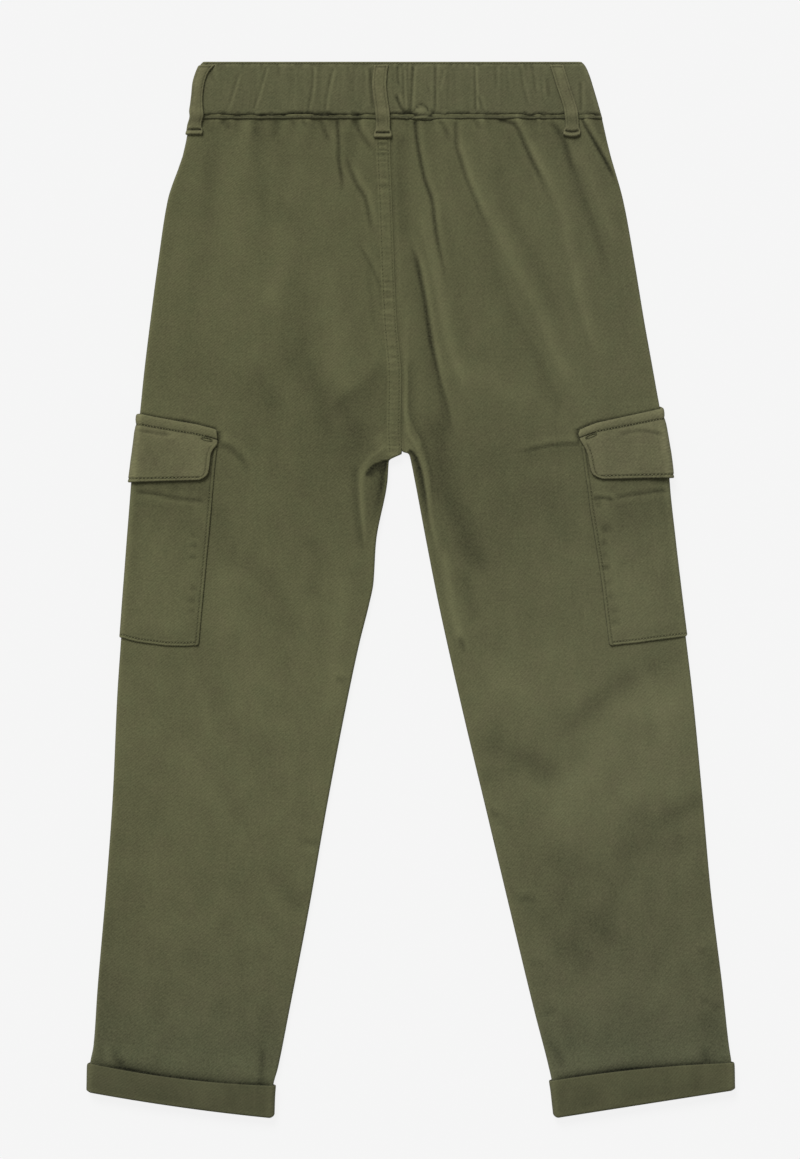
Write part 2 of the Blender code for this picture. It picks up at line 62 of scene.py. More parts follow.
# %% Sizes and tables of the garment
MM = 0.001  # metres in a millimetre
WALL = 1  # one layer of twill
SEAM = 0.3  # gap between two sewn pieces
PIECE = SEAM + WALL  # what one sewn-on layer adds
FOLD = 2.2  # reach of a side fold beyond the flat of its section
BAND_WALL, BAND_DEPTH, BAND_FOLD = 2, 5.6, 2.8  # the waistband's wall, pile and side folds
TURN_UP_WALL = 1.6
HEM_SLACK = 0.9  # room between the end of a leg's cloth and the lower edge of its hem
LOOP_WALL, LOOP_TOP = 1.2, 372.2
WAIST_SEAM = 337.5  # level of the seam between waistband and legs
EDGE, RAMP = 1, 12  # cloth over a lower layer lies level to EDGE beyond it, then slopes down
BRIDGE = (-12, -6, 0, 6, 12)  # places whose mean the upper cloth follows
RISE_TUCK = 0.45  # how far the right panel runs under the left one at the rise seam
FRONT_REACH = 57  # how far pockets and flaps reach round under the front
CALM = 22  # below the waist seam, where the cloth's own swell has come up
LEFT, RIGHT = -1, 1
WORD = {LEFT: "left", RIGHT: "right"}


def read_table(kind, text):
    """Rows of a table written as text. Each ends with a semicolon and holds the points of its
    path before a colon, if it has one, then its numbers in the order of the kind's fields."""
    rows = []
    for row in re.sub("#.*", "", text).split(";")[:-1]:
        *path, numbers = row.split(":")
        points = [tuple(map(float, point.split(","))) for part in path for point in part.split()]
        rows.append(kind(*([points] if path else []), *map(float, numbers.split())))
    return rows


Section = namedtuple("Section", "y tilt bow outer inner depth roll")
SECTIONS = {LEFT: read_table(Section, """
337.5 0 0 -156.4 -14.8 4.9 0;
312 0 0 -161 -14.4 4.7 0;
276.5 0 0 -172.7 -13 4.5 0;
234 0 0 -179.3 -11.5 4.4 0;
191 0 0 -185 -9.6 4.4 0;
149 0 0 -190 -6.4 4.6 0;
113 0 0 -193.4 -6.9 4.9 0;
103 0 0 -194.4 -6.4 5 0.2;
98.5 0.2 0 -194.9 -6 5 0.6;
96.4 0.3 0 -195.1 -6.2 5 1;
95.8 0.3 0 -195.2 -7.4 5 1;
92.4 0.6 0 -195.6 -14.6 5 1;
91.5 0.6 0 -195.7 -15.2 5 1;
78 1.4 0 -196.9 -16.2 4.9 1;
35 3.5 0 -200.3 -24.4 4.6 1;
7 4.7 0 -202.4 -26.2 4.5 1;
-7.5 5.5 0 -203.5 -29.2 4.4 1;
-35 6.6 0 -205.5 -36.2 4.3 1;
-78.5 8.2 0 -208.5 -45.6 4.2 1;
-149.5 10.6 0 -211.6 -59.4 4.2 1;
-220.5 12.8 0 -216.6 -72 4.2 1;
-291.5 14.6 0.5 -222.6 -85.9 4.2 1;
-332 15.4 1.8 -225.4 -94 4.3 1;
-346 15.9 3 -227.8 -97.6 4.4 1;
-366 18.3 1.4 -228.5 -98.4 4.4 1;
"""), RIGHT: read_table(Section, """
337.5 0 0 135.5 -14.8 4.9 0;
312 0 0 141.3 -14.4 4.7 0;
276.5 0 0 151.2 -13 4.5 0;
234 0 0 159 -11.5 4.4 0;
191 0 0 166.1 -9.6 4.4 0;
149 0 0 173.6 -6.4 4.6 0;
113 0 0 179.6 -6.9 4.9 0;
103 0 0 180.8 -6.4 5 0.2;
98.5 0.2 0 181.3 -6 5 0.6;
97.6 0.2 0 181.4 -5 5 0.8;
96.9 0.2 0 181.5 -2 5 1;
95.6 0.3 0 181.6 -1 5 1;
91.5 0.6 0 181.9 0.1 5 1;
78 1.4 0 182.6 2.9 4.9 1;
35 3.7 0 187 11.2 4.6 1;
-7.5 5.8 0 191.9 19.8 4.4 1;
-78.5 8.8 0 200.5 36 4.2 1;
-149.5 11.4 0 207.2 53.2 4.2 1;
-220.5 13.8 0 213.4 70.4 4.2 1;
-291.5 16 0 221.9 87.8 4.2 1;
-332 14.4 -1.4 226.4 98 4.3 1;
-343 12.7 -2.1 228 100.2 4.4 1;
-365.7 19.7 0 228.8 103.2 4.4 1;
""")}

BandSection = namedtuple("BandSection", "y left right")
BAND_SECTIONS = read_table(BandSection, """
374.6 -147.8 121.8;
372.6 -149.6 123.8;
366.5 -152.2 126.8;
354.5 -154.6 130.6;
337.5 -156.4 135.5;
332 -157.6 136.9;
""")

Pocket = namedtuple("Pocket", "mouth mouth_slope base base_slope")
POCKETS = {LEFT: Pocket(110, -0.16, -36.9, -0.065), RIGHT: Pocket(113, -0.19, -35.4, -0.10)}
# levels under the front of the flap's sewn edge, of the pocket's mouth and of the flap's foot
FLAP_PILE = {LEFT: (125, 111, 76), RIGHT: (130, 114, 77.5)}
FlapRow = namedtuple("FlapRow", "y slope reach")
# outline of the flaps, and how far their sewn edge bulges from a line across their width
FLAP_EDGES = {LEFT: read_table(FlapRow, """
125 -0.185 55.8;
120 -0.176 56.8;
114.5 -0.168 57.5;
110.5 -0.155 56.4;
107.5 -0.14 55.1;
99 -0.08 53.8;
87 -0.01 53.7;
81 0.02 53.2;
77.6 0.03 51;
75.2 0.04 46.8;
"""), RIGHT: read_table(FlapRow, """
130 -0.25 59.6;
126 -0.235 61;
120 -0.212 60.2;
114 -0.19 58.6;
108 -0.155 57.2;
102 -0.12 56.2;
89 -0.05 55;
83.6 -0.028 53.8;
80.6 -0.018 51;
78.4 -0.012 46;
""")}
FLAP_SHADOW_MIDDLE = {LEFT: -160, RIGHT: 128}  # where the painted shadow above the flap's sewn edge is widest
FLAP_BOWS = {LEFT: ((0, 12, 26, 40, 52, 58), (-0.3, -0.5, -0.5, -0.2, -0.9, -1.8)),
             RIGHT: ((0, 20, 36, 47, 54, 60), (-1.7, -1.05, -0.45, -0.05, -0.9, -1.9))}
TurnUp = namedtuple("TurnUp", "top bottom")
TURN_UPS = {LEFT: TurnUp(-344.1, -366), RIGHT: TurnUp(-342.1, -365.3)}


def column(rows, name):
    """One named column of a table, as an array."""
    return np.array([getattr(row, name) for row in rows])


def curve(rows, name, y):
    """A column of a table as a smooth curve over the table's levels."""
    return smooth(y, column(rows, "y"), column(rows, name))


def smooth(at, knots, values):
    """A curve through (knots, values) that never overshoots: a cubic on each stretch, whose end
    slopes are the harmonic mean of the two neighbouring straight slopes. Knots run down."""
    knots, values = np.asarray(knots)[::-1], np.asarray(values)[::-1]
    step = np.diff(knots)
    slope = np.diff(values) / step
    product = slope[:-1] * slope[1:]
    total = np.where(product > 0, slope[:-1] + slope[1:], 1)
    inside = np.where(product > 0, 2 * product / total, 0)
    tangent = np.concatenate([slope[:1], inside, slope[-1:]])
    k = np.clip(np.searchsorted(knots, at) - 1, 0, len(step) - 1)
    t = (at - knots[k]) / step[k]
    return (
        (1 + 2 * t) * (1 - t) ** 2 * values[k]
        + t * (1 - t) ** 2 * step[k] * tangent[k]
        + t * t * (3 - 2 * t) * values[k + 1]
        + t * t * (t - 1) * step[k] * tangent[k + 1]
    )


def ease(t):
    """0 below 0, 1 above 1, and an S-shaped cubic between them."""
    t = np.clip(t, 0, 1)
    return t * t * (3 - 2 * t)


def bell(distance, width):
    """1 at distance 0, falling off as a Gauss curve of that width."""
    return np.exp(-((distance / width) ** 2))


def hashed(i, j, seed):
    """A repeatable number from 0 to 1 for each pair of whole numbers."""
    n = np.sin(i * 127.1 + j * 311.7 + seed * 74.7) * 43758.5453
    return n - np.floor(n)


def ripple(x, y, size_x, size_y, seed):
    """Soft random bumps from -1 to 1: repeatable numbers on a grid, blended between its points."""
    x, y = np.broadcast_arrays(x / size_x, y / size_y)
    i, j = np.floor(x), np.floor(y)
    fx, fy = ease(x - i), ease(y - j)
    low = hashed(i, j, seed) * (1 - fx) + hashed(i + 1, j, seed) * fx
    high = hashed(i, j + 1, seed) * (1 - fx) + hashed(i + 1, j + 1, seed) * fx
    return 2 * (low * (1 - fy) + high * fy) - 1


def wander(x, size, seed):
    """A ripple along one line: its bumps differ only with x."""
    return ripple(x, 0 * x, size, 1, seed)


print("sections down a leg:", len(SECTIONS[LEFT]), "and", len(SECTIONS[RIGHT]))

# %% [markdown]
# ## Folds, one by one
#
# Folds are what makes cloth look like cloth, and no two are alike. Random noise alone gives a
# crumpled sack, so each fold here is placed one by one. A sharp fold is a narrow trough with a
# ridge of pushed-up cloth beside it; a soft one is a broad swell or hollow with no edge at all.
# They start in the gathers of the elastic waist and run down and outwards, others spread from
# the crotch and the corners of the pockets, and a few cross the knees.

# %% Tables of the folds
# A path's points are x,y. lean: how far the ridge lies from the trough, to the right of a line
# that runs down and above one that runs to the right. start, end: lengths over which the fold
# comes up and dies away.
Fold = namedtuple("Fold", "path width depth ridge lean start end")
LEG_FOLDS = read_table(Fold, """
# right hip, from the rise seam to the side
3,334 5,316 7,305 10,291 15,277 17,262 19,248 22,234 25,220 29,206: 1.6 1.2 0.3 3.6 2 60;
-2,250 4,234 7,220 10,206 12,191 14,177 17,163 20,149 23,135 27,120: 1.6 0.7 0.4 3.4 24 56;
32,334 32.5,316 35.5,305 40,291 45,279 50,267 55,256 61,245: 1.7 0.7 0.4 3.4 5 52;
61,334 69,332 75,329 81,316 86,305 93,291 98,277: 1.8 1 0.5 4 3 28;
96,331 104,328 109,318 113,305 118,291: 2.4 0.6 0.3 5 5 16;
121,336 123.6,330 130.6,318 136.6,307.5 143,296 147.4,285: 1.45 1.25 0.5 3.2 2 16;
20,334 25,326 28,316: 2 0.6 0.3 3.6 2 8;
44,334 51,326: 1.8 0.5 0.2 3.5 1 5;
88,334 92,328: 1.6 0.4 0.2 3 1 4;
# left hip
-52,334 -51,316 -51,305 -49,291 -49,277: 1.6 1.1 0.05 3.2 2 22;
-46,308 -40,291 -36,284 -32,277 -29,262 -27,250: 1.7 0.85 0.4 4 16 18;
-38,247 -31,235 -24,221 -21,209: 1.6 0.45 0.2 3.6 10 10;
-64,334 -61,325 -57,316: 1.9 0.6 0.3 3.6 2 7;
-40,334 -36,325 -30,316 -26,309: 2 0.7 0.4 4 2 9;
-77,334 -73,327: 1.8 0.5 0.2 3 1 4;
-84,334 -82,326: 2.2 0.5 0.2 4 1 5;
-95,334 -96,324 -98,316: 3 0.6 0.3 5.5 2 9;
-111,334 -110,326 -113,316: 3.2 0.6 0.3 -6 2 12;
-134,334 -130,329 -127,325: 2.6 0.7 0.3 4.6 2 5;
35,-33 39,-46: 2 0.5 0.2 3 3 4;
# right leg
56,-158 66,-163: 2.5 0.4 0.2 4 2 4;
70,-216 80,-219 92,-221: 2.2 0.4 0.1 4 2 5;
84,-267 97,-265: 2.6 0.3 0.1 4 3 5;
93,-299 108,-297: 2.6 0.45 0.1 4 3 6;
204,-291 213,-294 222,-298: 2.6 0.3 0.1 4 4 3;
212,-255 202,-258: 2.4 0.22 0.15 -4 3 4;
70,97 84,99 101,102.6 121,103.6: 1.7 0.8 0.2 3.2 22 1;
# left leg
-84,-175 -74,-178 -63,-180: 2.6 0.5 0.2 -4 4 5;
-53,-62 -43,-67: 2.2 0.45 0.2 3.5 2 4;
-137,103 -127,99 -119,91 -114,80: 3 0.8 0.3 5.5 4 14;
# the cloth is pushed in above each turned-up hem
-106,-322 -105,-334 -107,-352: 2.6 0.5 0.1 -5 10 1;
-206,-332 -207,-342: 4 0.4 0.1 7 5 1;
208,-322 210,-336: 3.4 0.4 0.1 -6 8 1;
""")

# Broad swells of the upper cloth; a height below zero is a hollow. low: width on the left of a
# line that runs down and below one that runs to the right; high: width on its other side.
Swell = namedtuple("Swell", "path low high height start end", defaults=(0, 0))
SWELLS = read_table(Swell, """
# right hip
0,304 4,280 8,262 13,242 18,222 21,206 24,191 27,177 31,163 37,149 41,132: 3 5 0.7 70 24;
17,300 22,279 28,262 31,244: 3 6 0.15 10 20;
-7,326 -8,295 -7,270 -4,254 -1,238: 5.5 5.5 -0.8 8 24;
24,272 30,230 36,190 42,160: 7 9 -0.3 20 20;
-1,254 4,236 8,220 11,200 14,185 17,166 21,148 25,134 28,118 30,104: 8 1.6 -1.15 30 24;
-3,212 -2.6,177 -3,149 -3.6,130: 2 2.2 0.45 14 8;
36,322 40,305 45,290 52,275 60,260 66,246 73,232 82,215 90,200 96,186 102,170 110,152 117,134:
  4 6.5 0.75 10 26;
44,284 48,266 54,250 60,230 67,208 76,190 88,168 98,146 108,124: 9 4 -0.5 16 22;
62,304 66,280 76,256 86,238 95,218 102,200 110,184: 5.5 5.5 -0.4 14 18;
84,322 90,308 97,294 103,281 109,264 112,246 116,228 120,208 125,190 131,174 137,160:
  3.4 6.5 0.75 8 22;
101,330 108,320 114,304 119,289 124,275 129,262 134,247 138,232 142,215: 5 2.8 -0.85 6 34;
119,320 123,304 130,286 137,268 143,252 148,236: 3 5 0.55 8 18;
26,164 38,154 54,148 70,140 86,128: 7 10 0.5 10 20;
124,332 131,318 138,305 144,292 149,278 152,262: 4.5 2 -0.4 3 40;
70,322 66,300: 8 8 -0.25;
62,128 118,150: 22 18 0.2;
70,95 96,99 120,101: 9 2.5 -0.45 14 0;
104,132 112,146: 6 6 -0.3;
# crotch and right thigh
14,128 19,110 22,92 25,76 30,60 36,45 42,30 50,18 59,7: 9 9 -1.15 16 22;
-1.4,166 -1,142 -1,127 2.6,115.5 7,107.5 10.4,97 12.9,86 15,72 17,56: 0.8 4.5 -0.8 12 18;
-3.8,142 -3.6,127 -1.8,113 2,105 5.6,98 8.9,90 11,80 12.9,66 14.9,50 18.2,34 21.5,18:
  1.6 2 0.85 14 22;
-1.5,98.8 1.6,97 4.2,93.2 6.5,87 8.4,80 10.3,68 11.7,55 13.5,42 16.6,26: 5.5 1 -2.5 1 62;
21,36 25,14 28.5,-6 32,-22 36,-38: 3.6 4.2 1.15 20 8;
36,16 42,-4 45,-26: 3.5 6 -0.5 10 8;
96,66 103,59: 11 11 -0.35;
60,96 72,72 62,46: 24 26 -0.4;
110,42 96,36: 10 10 -0.2;
90,84 110,83: 7 7 0.3;
92,8 112,18: 12 12 0.25;
118.6,114.6 118.9,109.4 120.6,104: 1.8 1.8 -1.8 1 2;
# right knee
98,-106 108,-100 117,-94 128,-84 140,-73 152,-65 166,-56 180,-50 200,-42: 8.5 8.5 -0.64 18 70;
42,-96 54,-105 66,-114 80,-121 94,-127 106,-134: 10 10 -0.76 30 10;
54,-132 70,-129: 4.5 4.5 -0.35;
64,-64 86,-78: 14 14 0.55;
184,-84 164,-84 150,-97 139,-110 128,-128 112,-146 104,-162: 14 14 0.6;
160,-116 156,-146: 11 11 0.3;
192,-62 180,-86: 12 12 0.3;
102,-48 112,-74: 12 12 0.35;
150,-184 190,-178: 8 8 -0.3;
206,-272 212,-308: 12 12 -0.2;
152,-140 122,-176: 14 14 0.25;
150,-48 170,-66: 9 9 0.3;
182,-108 176,-132: 13 13 0.35;
# right shin
212,-148 198,-153 184,-161 170,-168 156,-179: 7 8 -0.75 3 30;
162,-180 148,-206 138,-240: 13 12 -0.5;
132,-232 142,-246: 8 8 -0.35;
112,-258 122,-267: 10 10 -0.4;
86,-230 106,-250: 10 10 -0.3;
102,-200 114,-226 122,-248: 22 22 -0.5;
182,-196 176,-232 170,-262: 22 22 -0.32;
64,-162 70,-168 74,-180: 4.5 4.5 -0.25;
110,-308 113,-322: 5 5 -0.35;
101,-323 107,-336: 3.5 3.5 -0.7;
210,-306 212,-322 210,-336: 6.5 6.5 -0.42;
168,-306 170,-326: 10 10 -0.35;
205,-262 212,-266: 8 8 -0.2;
# left hip
-82,246 -75,228 -76,205 -77,185 -75,165 -70,150 -64,138 -60,124 -60,104: 11 6 -0.78 80 18;
-58,256 -58,220 -60,200 -58,180 -56,160 -50,148: 5 11 0.42 80 0;
-60,122 -46,135 -34,142 -26,150 -20,166: 15 4.5 -0.85 14 14;
-66,112 -30,106: 16 16 -0.3;
-36,126 -38,108 -40,92 -41,72: 12 7 -0.8 14 28;
-107,150 -105,142 -99,132: 10 9 -0.6;
-116,120 -98,110: 14 14 -0.15;
-142,182 -108,172: 20 20 0.2;
-46,326 -44,296: 4 5 -0.4 4 6;
-94,182 -88,160: 12 12 -0.3;
-90,266 -89,238 -95,216 -108,198: 7 6 0.45 16 16;
-80,306 -84,288 -91,272: 5 6 0.35 10 10;
-122,326 -124,300 -126,262 -132,228 -142,196: 9 8 0.35 10 20;
-108,331 -110,310 -106,284 -103,260: 5 5.5 -0.45 6 16;
-139,331 -140,308 -144,280 -147,254: 7 6 -0.5 4 18;
-166,270 -167,240 -165,206: 6 6 0.3 14 14;
-30,232 -27,205 -24,180: 3 2 -0.35 8 12;
-108,240 -104,196: 20 20 0.2;
-17,210 -13,149 -14,104: 4 4 0.3 16 6;
# crotch, left: the hollow under the edge, the edge itself, and the soft groove beyond it
-32.4,77.5 -30.8,82.4 -27.8,86.3 -24,88.8 -15,91.6: 4.6 0.9 -2.9 7 0;
-22,85 -24,76 -26,62 -27.5,46 -29,30: 6 5 -0.9 0 34;
-24,112 -14,98 -6,99 1,104: 6 6 0.75 5 3;
-3,112 4,103: 5 4 0.45;
-17,92 -18.6,84 -20,74 -21.6,64 -24,48 -26.4,32: 3.4 3.2 -1.9 1 50;
-15,104 -20.5,99.5 -27,94.5 -32.4,88 -34.6,80 -34.6,66 -33.4,48 -31.6,26: 2.2 1.8 0.75 6 24;
-38,92 -38.4,78 -37.6,64 -36.4,49 -34.6,35 -32.4,18: 5 1.5 -0.85 10 22;
# left leg
-136.3,112.8 -136.2,108 -136.8,102.4: 1.7 1.7 -1.5 1 2;
-138,62 -136,44 -126,27 -108,14 -98,0 -92,-20 -84,-50: 8 9 -0.42 8 30;
-133,6 -132,-8 -131,-24: 10 10 0.55;
-118,-62 -98,-74: 16 16 0.2;
-70,40 -66,16 -70,-10: 8 8 -0.35 8 10;
-74,92 -68,66 -63,44: 18 18 -0.35;
-45,14 -48,-12 -50,-34 -55,-60 -58,-92: 7 6 0.5 12 14;
-126,-100 -112,-108 -103,-116: 10 10 -0.4;
-144,-70 -138,-82: 9 9 -0.3;
-192,-140 -196,-200 -204,-240: 10 10 -0.22;
-96,-204 -90,-215 -82,-222: 8 8 -0.4;
-104,-300 -106,-318 -107,-338: 6.5 6.5 -0.42;
-136,-268 -136,-296: 12 12 -0.25;
-214,-300 -208,-322: 10 10 -0.35;
-209.5,-330.5 -205.5,-336: 3.6 3.6 -0.7;
-215.5,-326 -215,-333: 2.6 2.6 0.5;
""")


def through(path, count):
    """A smooth line through a few points: a Catmull-Rom spline, `count` steps a stretch."""
    p = np.array(path, float)
    p = np.concatenate([[2 * p[0] - p[1]], p, [2 * p[-1] - p[-2]]])
    t = np.linspace(0, 1, count, endpoint=False)[:, None]
    runs = [
        0.5 * (2 * b + (c - a) * t + (2 * a - 5 * b + 4 * c - d) * t**2
               + (3 * b - a - 3 * c + d) * t**3)
        for a, b, c, d in zip(p, p[1:], p[2:], p[3:])
    ]
    return np.concatenate([*runs, p[-2:-1]])


def measured(path, x, y, margin, start, end):
    """Which points lie near a line, their distance from it (above zero to the right of a line
    that runs down), and a strength that rises from 0 at its start and falls to 0 at its end. A
    length of 0 leaves the line with a round end instead."""
    line = through(path, 3)
    low, high = line.min(axis=0) - margin, line.max(axis=0) + margin
    near = (x > low[0]) & (x < high[0]) & (y > low[1]) & (y < high[1])
    px, py = x[near], y[near]
    best, signed, along, done = np.full(px.shape, 1e9), 0 * px, 0 * px, 0
    for (ax, ay), (bx, by) in zip(line, line[1:]):
        rx, ry = bx - ax, by - ay
        run = np.hypot(rx, ry)
        t = np.clip(((px - ax) * rx + (py - ay) * ry) / run**2, 0, 1)
        distance = np.hypot(px - ax - t * rx, py - ay - t * ry)
        nearer = distance < best
        best = np.where(nearer, distance, best)
        right = np.sign(rx * (py - ay) - ry * (px - ax))
        signed = np.where(nearer, distance * right, signed)
        along = np.where(nearer, done + t * run, along)
        done += run
    rise = ease(along / start) if start else 1
    return near, signed, rise * (ease((done - along) / end) if end else 1)


def folded(folds, x, y):
    """Height of all folds of a table: for each a bell-shaped trough along its line and a
    bell-shaped ridge beside it, or for a swell one broad bell with a width to each side."""
    x, y = np.broadcast_arrays(x, y)
    height = np.zeros(x.shape)
    for fold in folds:
        broad = isinstance(fold, Swell)
        if broad:
            margin = max(fold.low, fold.high)
        else:
            side = max(0.75 * abs(fold.lean), fold.width)
            margin = max(fold.width, side + abs(fold.lean) / 2)
        near, off, strength = measured(fold.path, x, y, 2.4 * margin, fold.start, fold.end)
        if broad:
            width = np.where(off < 0, fold.low, fold.high)
            height[near] += fold.height * bell(off, width) * strength
        else:
            ridge = fold.ridge * bell(off - fold.lean, side)
            height[near] += (ridge - fold.depth * bell(off, fold.width)) * strength
    return height


print("placed by hand:", len(LEG_FOLDS), "folds and", len(SWELLS), "swells in the legs")

# %% [markdown]
# ## The surface of a leg
#
# One function gives the outer face of a whole leg. What is sewn on top, such as a pocket, is the
# same surface moved outwards by the thickness of the cloth under it, so nothing floats or sinks
# in. The fine relief is a second function of x and y that is only added to the upper face: the
# folds, the small gathers below the waist, the felled rise seam, and a slow random swell that
# stands for cloth that has been washed and never lies quite flat. The same function gives the
# cloth's colour a painted light: a painted highlight on ridges, and painted shade in folds and
# seams, under the waistband, behind the hems and beside the flaps.

# %% Functions of the leg's surface
RISE_ROWS = (1.5, 8.6)  # distances of the two rows of topstitching from the rise seam
RISE_LEVELS = (334, 88)  # between which the seam's strip lies
TURN_OFF = 103  # level where the section's inner end leaves the rise seam for the inside leg
FLAP_LEVEL = 118  # level at which distances along a flap's sewn edge start from the side fold
PUCKER = 7.2  # mean distance between puckers of the felled rise seam
# painted light: the cloth's colour is made paler on relief that stands up and darker where it sinks
PAINTED_LIGHT_PER_MM = 0.22  # share of its light that the cloth gains with each millimetre of height
FLATTEN = (0.55, 0.28)  # shares of its table's height that a fold and a swell stand up
LOWEST = -2.6  # height of the deepest relief
# how far the leg hangs away from its turned-up hem, across its width
HEM_GAPS = {LEFT: ((-228, -212, -200, -180, -160, -125, -104, -97),
                   (0.3, 0.9, 1.25, 0.85, 0.75, 0.6, 0.6, 0.2)),
            RIGHT: ((101, 110, 125, 150, 175, 200, 213, 228),
                    (0.2, 0.6, 0.8, 1.1, 1, 0.8, 0.6, 0.3))}


def lift(side, y, away):
    """Height of pocket, flap and hem lying under the front: straight ramps between levels."""
    sewn, mouth, foot = FLAP_PILE[side]
    base, hem = POCKETS[side].base - EDGE, TURN_UPS[side].top + EDGE
    knots = (base - RAMP, base, foot - RAMP, foot - EDGE, mouth, sewn, sewn + EDGE,
             sewn + EDGE + RAMP)
    along = np.interp(y, knots, np.array((0, 1, 1, 2, 2, 1, 1, 0)) * PIECE)
    beside = np.interp(away, (FRONT_REACH + EDGE, FRONT_REACH + EDGE + RAMP), (1, 0))
    return along * beside + np.interp(y, (hem, hem + RAMP), (SEAM + TURN_UP_WALL, 0))


def bridged_lift(side, y, away):
    """The lift as the upper cloth feels it: its mean over a square of 24 mm."""
    return np.mean([lift(side, y + dy, away + dx) for dy in BRIDGE for dx in BRIDGE], axis=0)


def section_at(side, y):
    """The section's numbers at levels y, with its inner end moved to where the seam lies."""
    tilt, bow, outer, inner, depth, roll = (
        curve(SECTIONS[side], name, y) for name in Section._fields[1:]
    )
    roll = np.clip(roll, 0, 1)
    tuck = -RISE_TUCK if side == RIGHT else 0
    return tilt, bow, outer, inner + side * SEAM / 2 * roll + tuck * (1 - roll), depth, roll


def facing(turn):
    """1 on the upper face and 0 on the lower one, with the sine of the turn between them."""
    return np.clip(np.sin(turn), 0, 1)


def leg_surface(side, y, away, turn, out=0):
    """Points on a leg's plain outer face, moved out by `out`: x runs from the outer end of the
    section to the inner one and swings round each fold with the cosine of the turn; z is the
    middle of the pile plus half its height times the sine."""
    tilt, bow, outer, inner, depth, roll = section_at(side, y)
    width = np.abs(outer - inner)
    at_inner = away > width / 2
    roll = np.where(at_inner, roll, 1)
    swing = (FOLD + out * roll) * np.cos(turn)
    x = outer - side * away + side * np.where(at_inner, -swing, swing)
    along = np.abs(x - outer) / width
    level = y + tilt * (0.5 - along) - bow * 4 * along * (1 - along)
    lower = lift(side, y, away)
    upper = bridged_lift(side, y, away) + depth
    normal_z = np.sign(turn) * (1 - roll * (1 - np.abs(np.sin(turn))))
    z = (lower + upper) / 2 + ((upper - lower) / 2 + out) * normal_z
    return np.stack(np.broadcast_arrays(x, level, z), axis=-1)


def rise_relief(side, y, from_seam):
    """Height and painted light of the felled rise seam: a raised strip on the left half, pressed
    down along two rows of stitches and drawn in between them by uneven puckers, and a step down to
    the right half. The strip gets a painted highlight and the puckers painted shade."""
    top, foot = RISE_LEVELS
    here = ease((top - y) / 3) * ease((y - foot) / 2)
    if side == RIGHT:
        return -0.55 * bell(from_seam - RISE_TUCK, 1.9) * here, 0 * from_seam
    near_row, far_row = RISE_ROWS
    strip = 0.55 * ease((far_row + 1.9 - from_seam) / 1.6)
    rows = 0.45 * bell(from_seam - near_row, 0.5) + 0.4 * bell(from_seam - far_row, 0.55)
    phase = y / PUCKER + 0.4 * wander(y, 22, 21) + 0.2 * wander(y, 13, 24)
    off = phase - np.floor(phase) - 0.5
    strength = np.clip(0.56 + 0.55 * wander(y, 12, 22), 0.05, 1.3)
    strength = strength * (0.45 + 0.55 * ease((y - 150) / 80))
    across = bell(from_seam - 0.55 * (near_row + far_row), 4.2)
    pucker = strength * (bell(off * PUCKER, 0.8) - 0.45 * np.cos(2 * pi * off)) * across
    return (strip - rows - pucker) * here, (0.10 * strip - 0.28 * pucker) * here


def flap_line(side, x):
    """Level of the flap's sewn edge at x, and 1 where the flap lies, easing to 0 beyond it."""
    away = side * (section_at(side, FLAP_LEVEL)[2] - x)
    sewn = FLAP_EDGES[side][0]
    line = sewn.y + sewn.slope * away + np.interp(away, *FLAP_BOWS[side])
    return line, ease((sewn.reach + 1 - away) / 2)


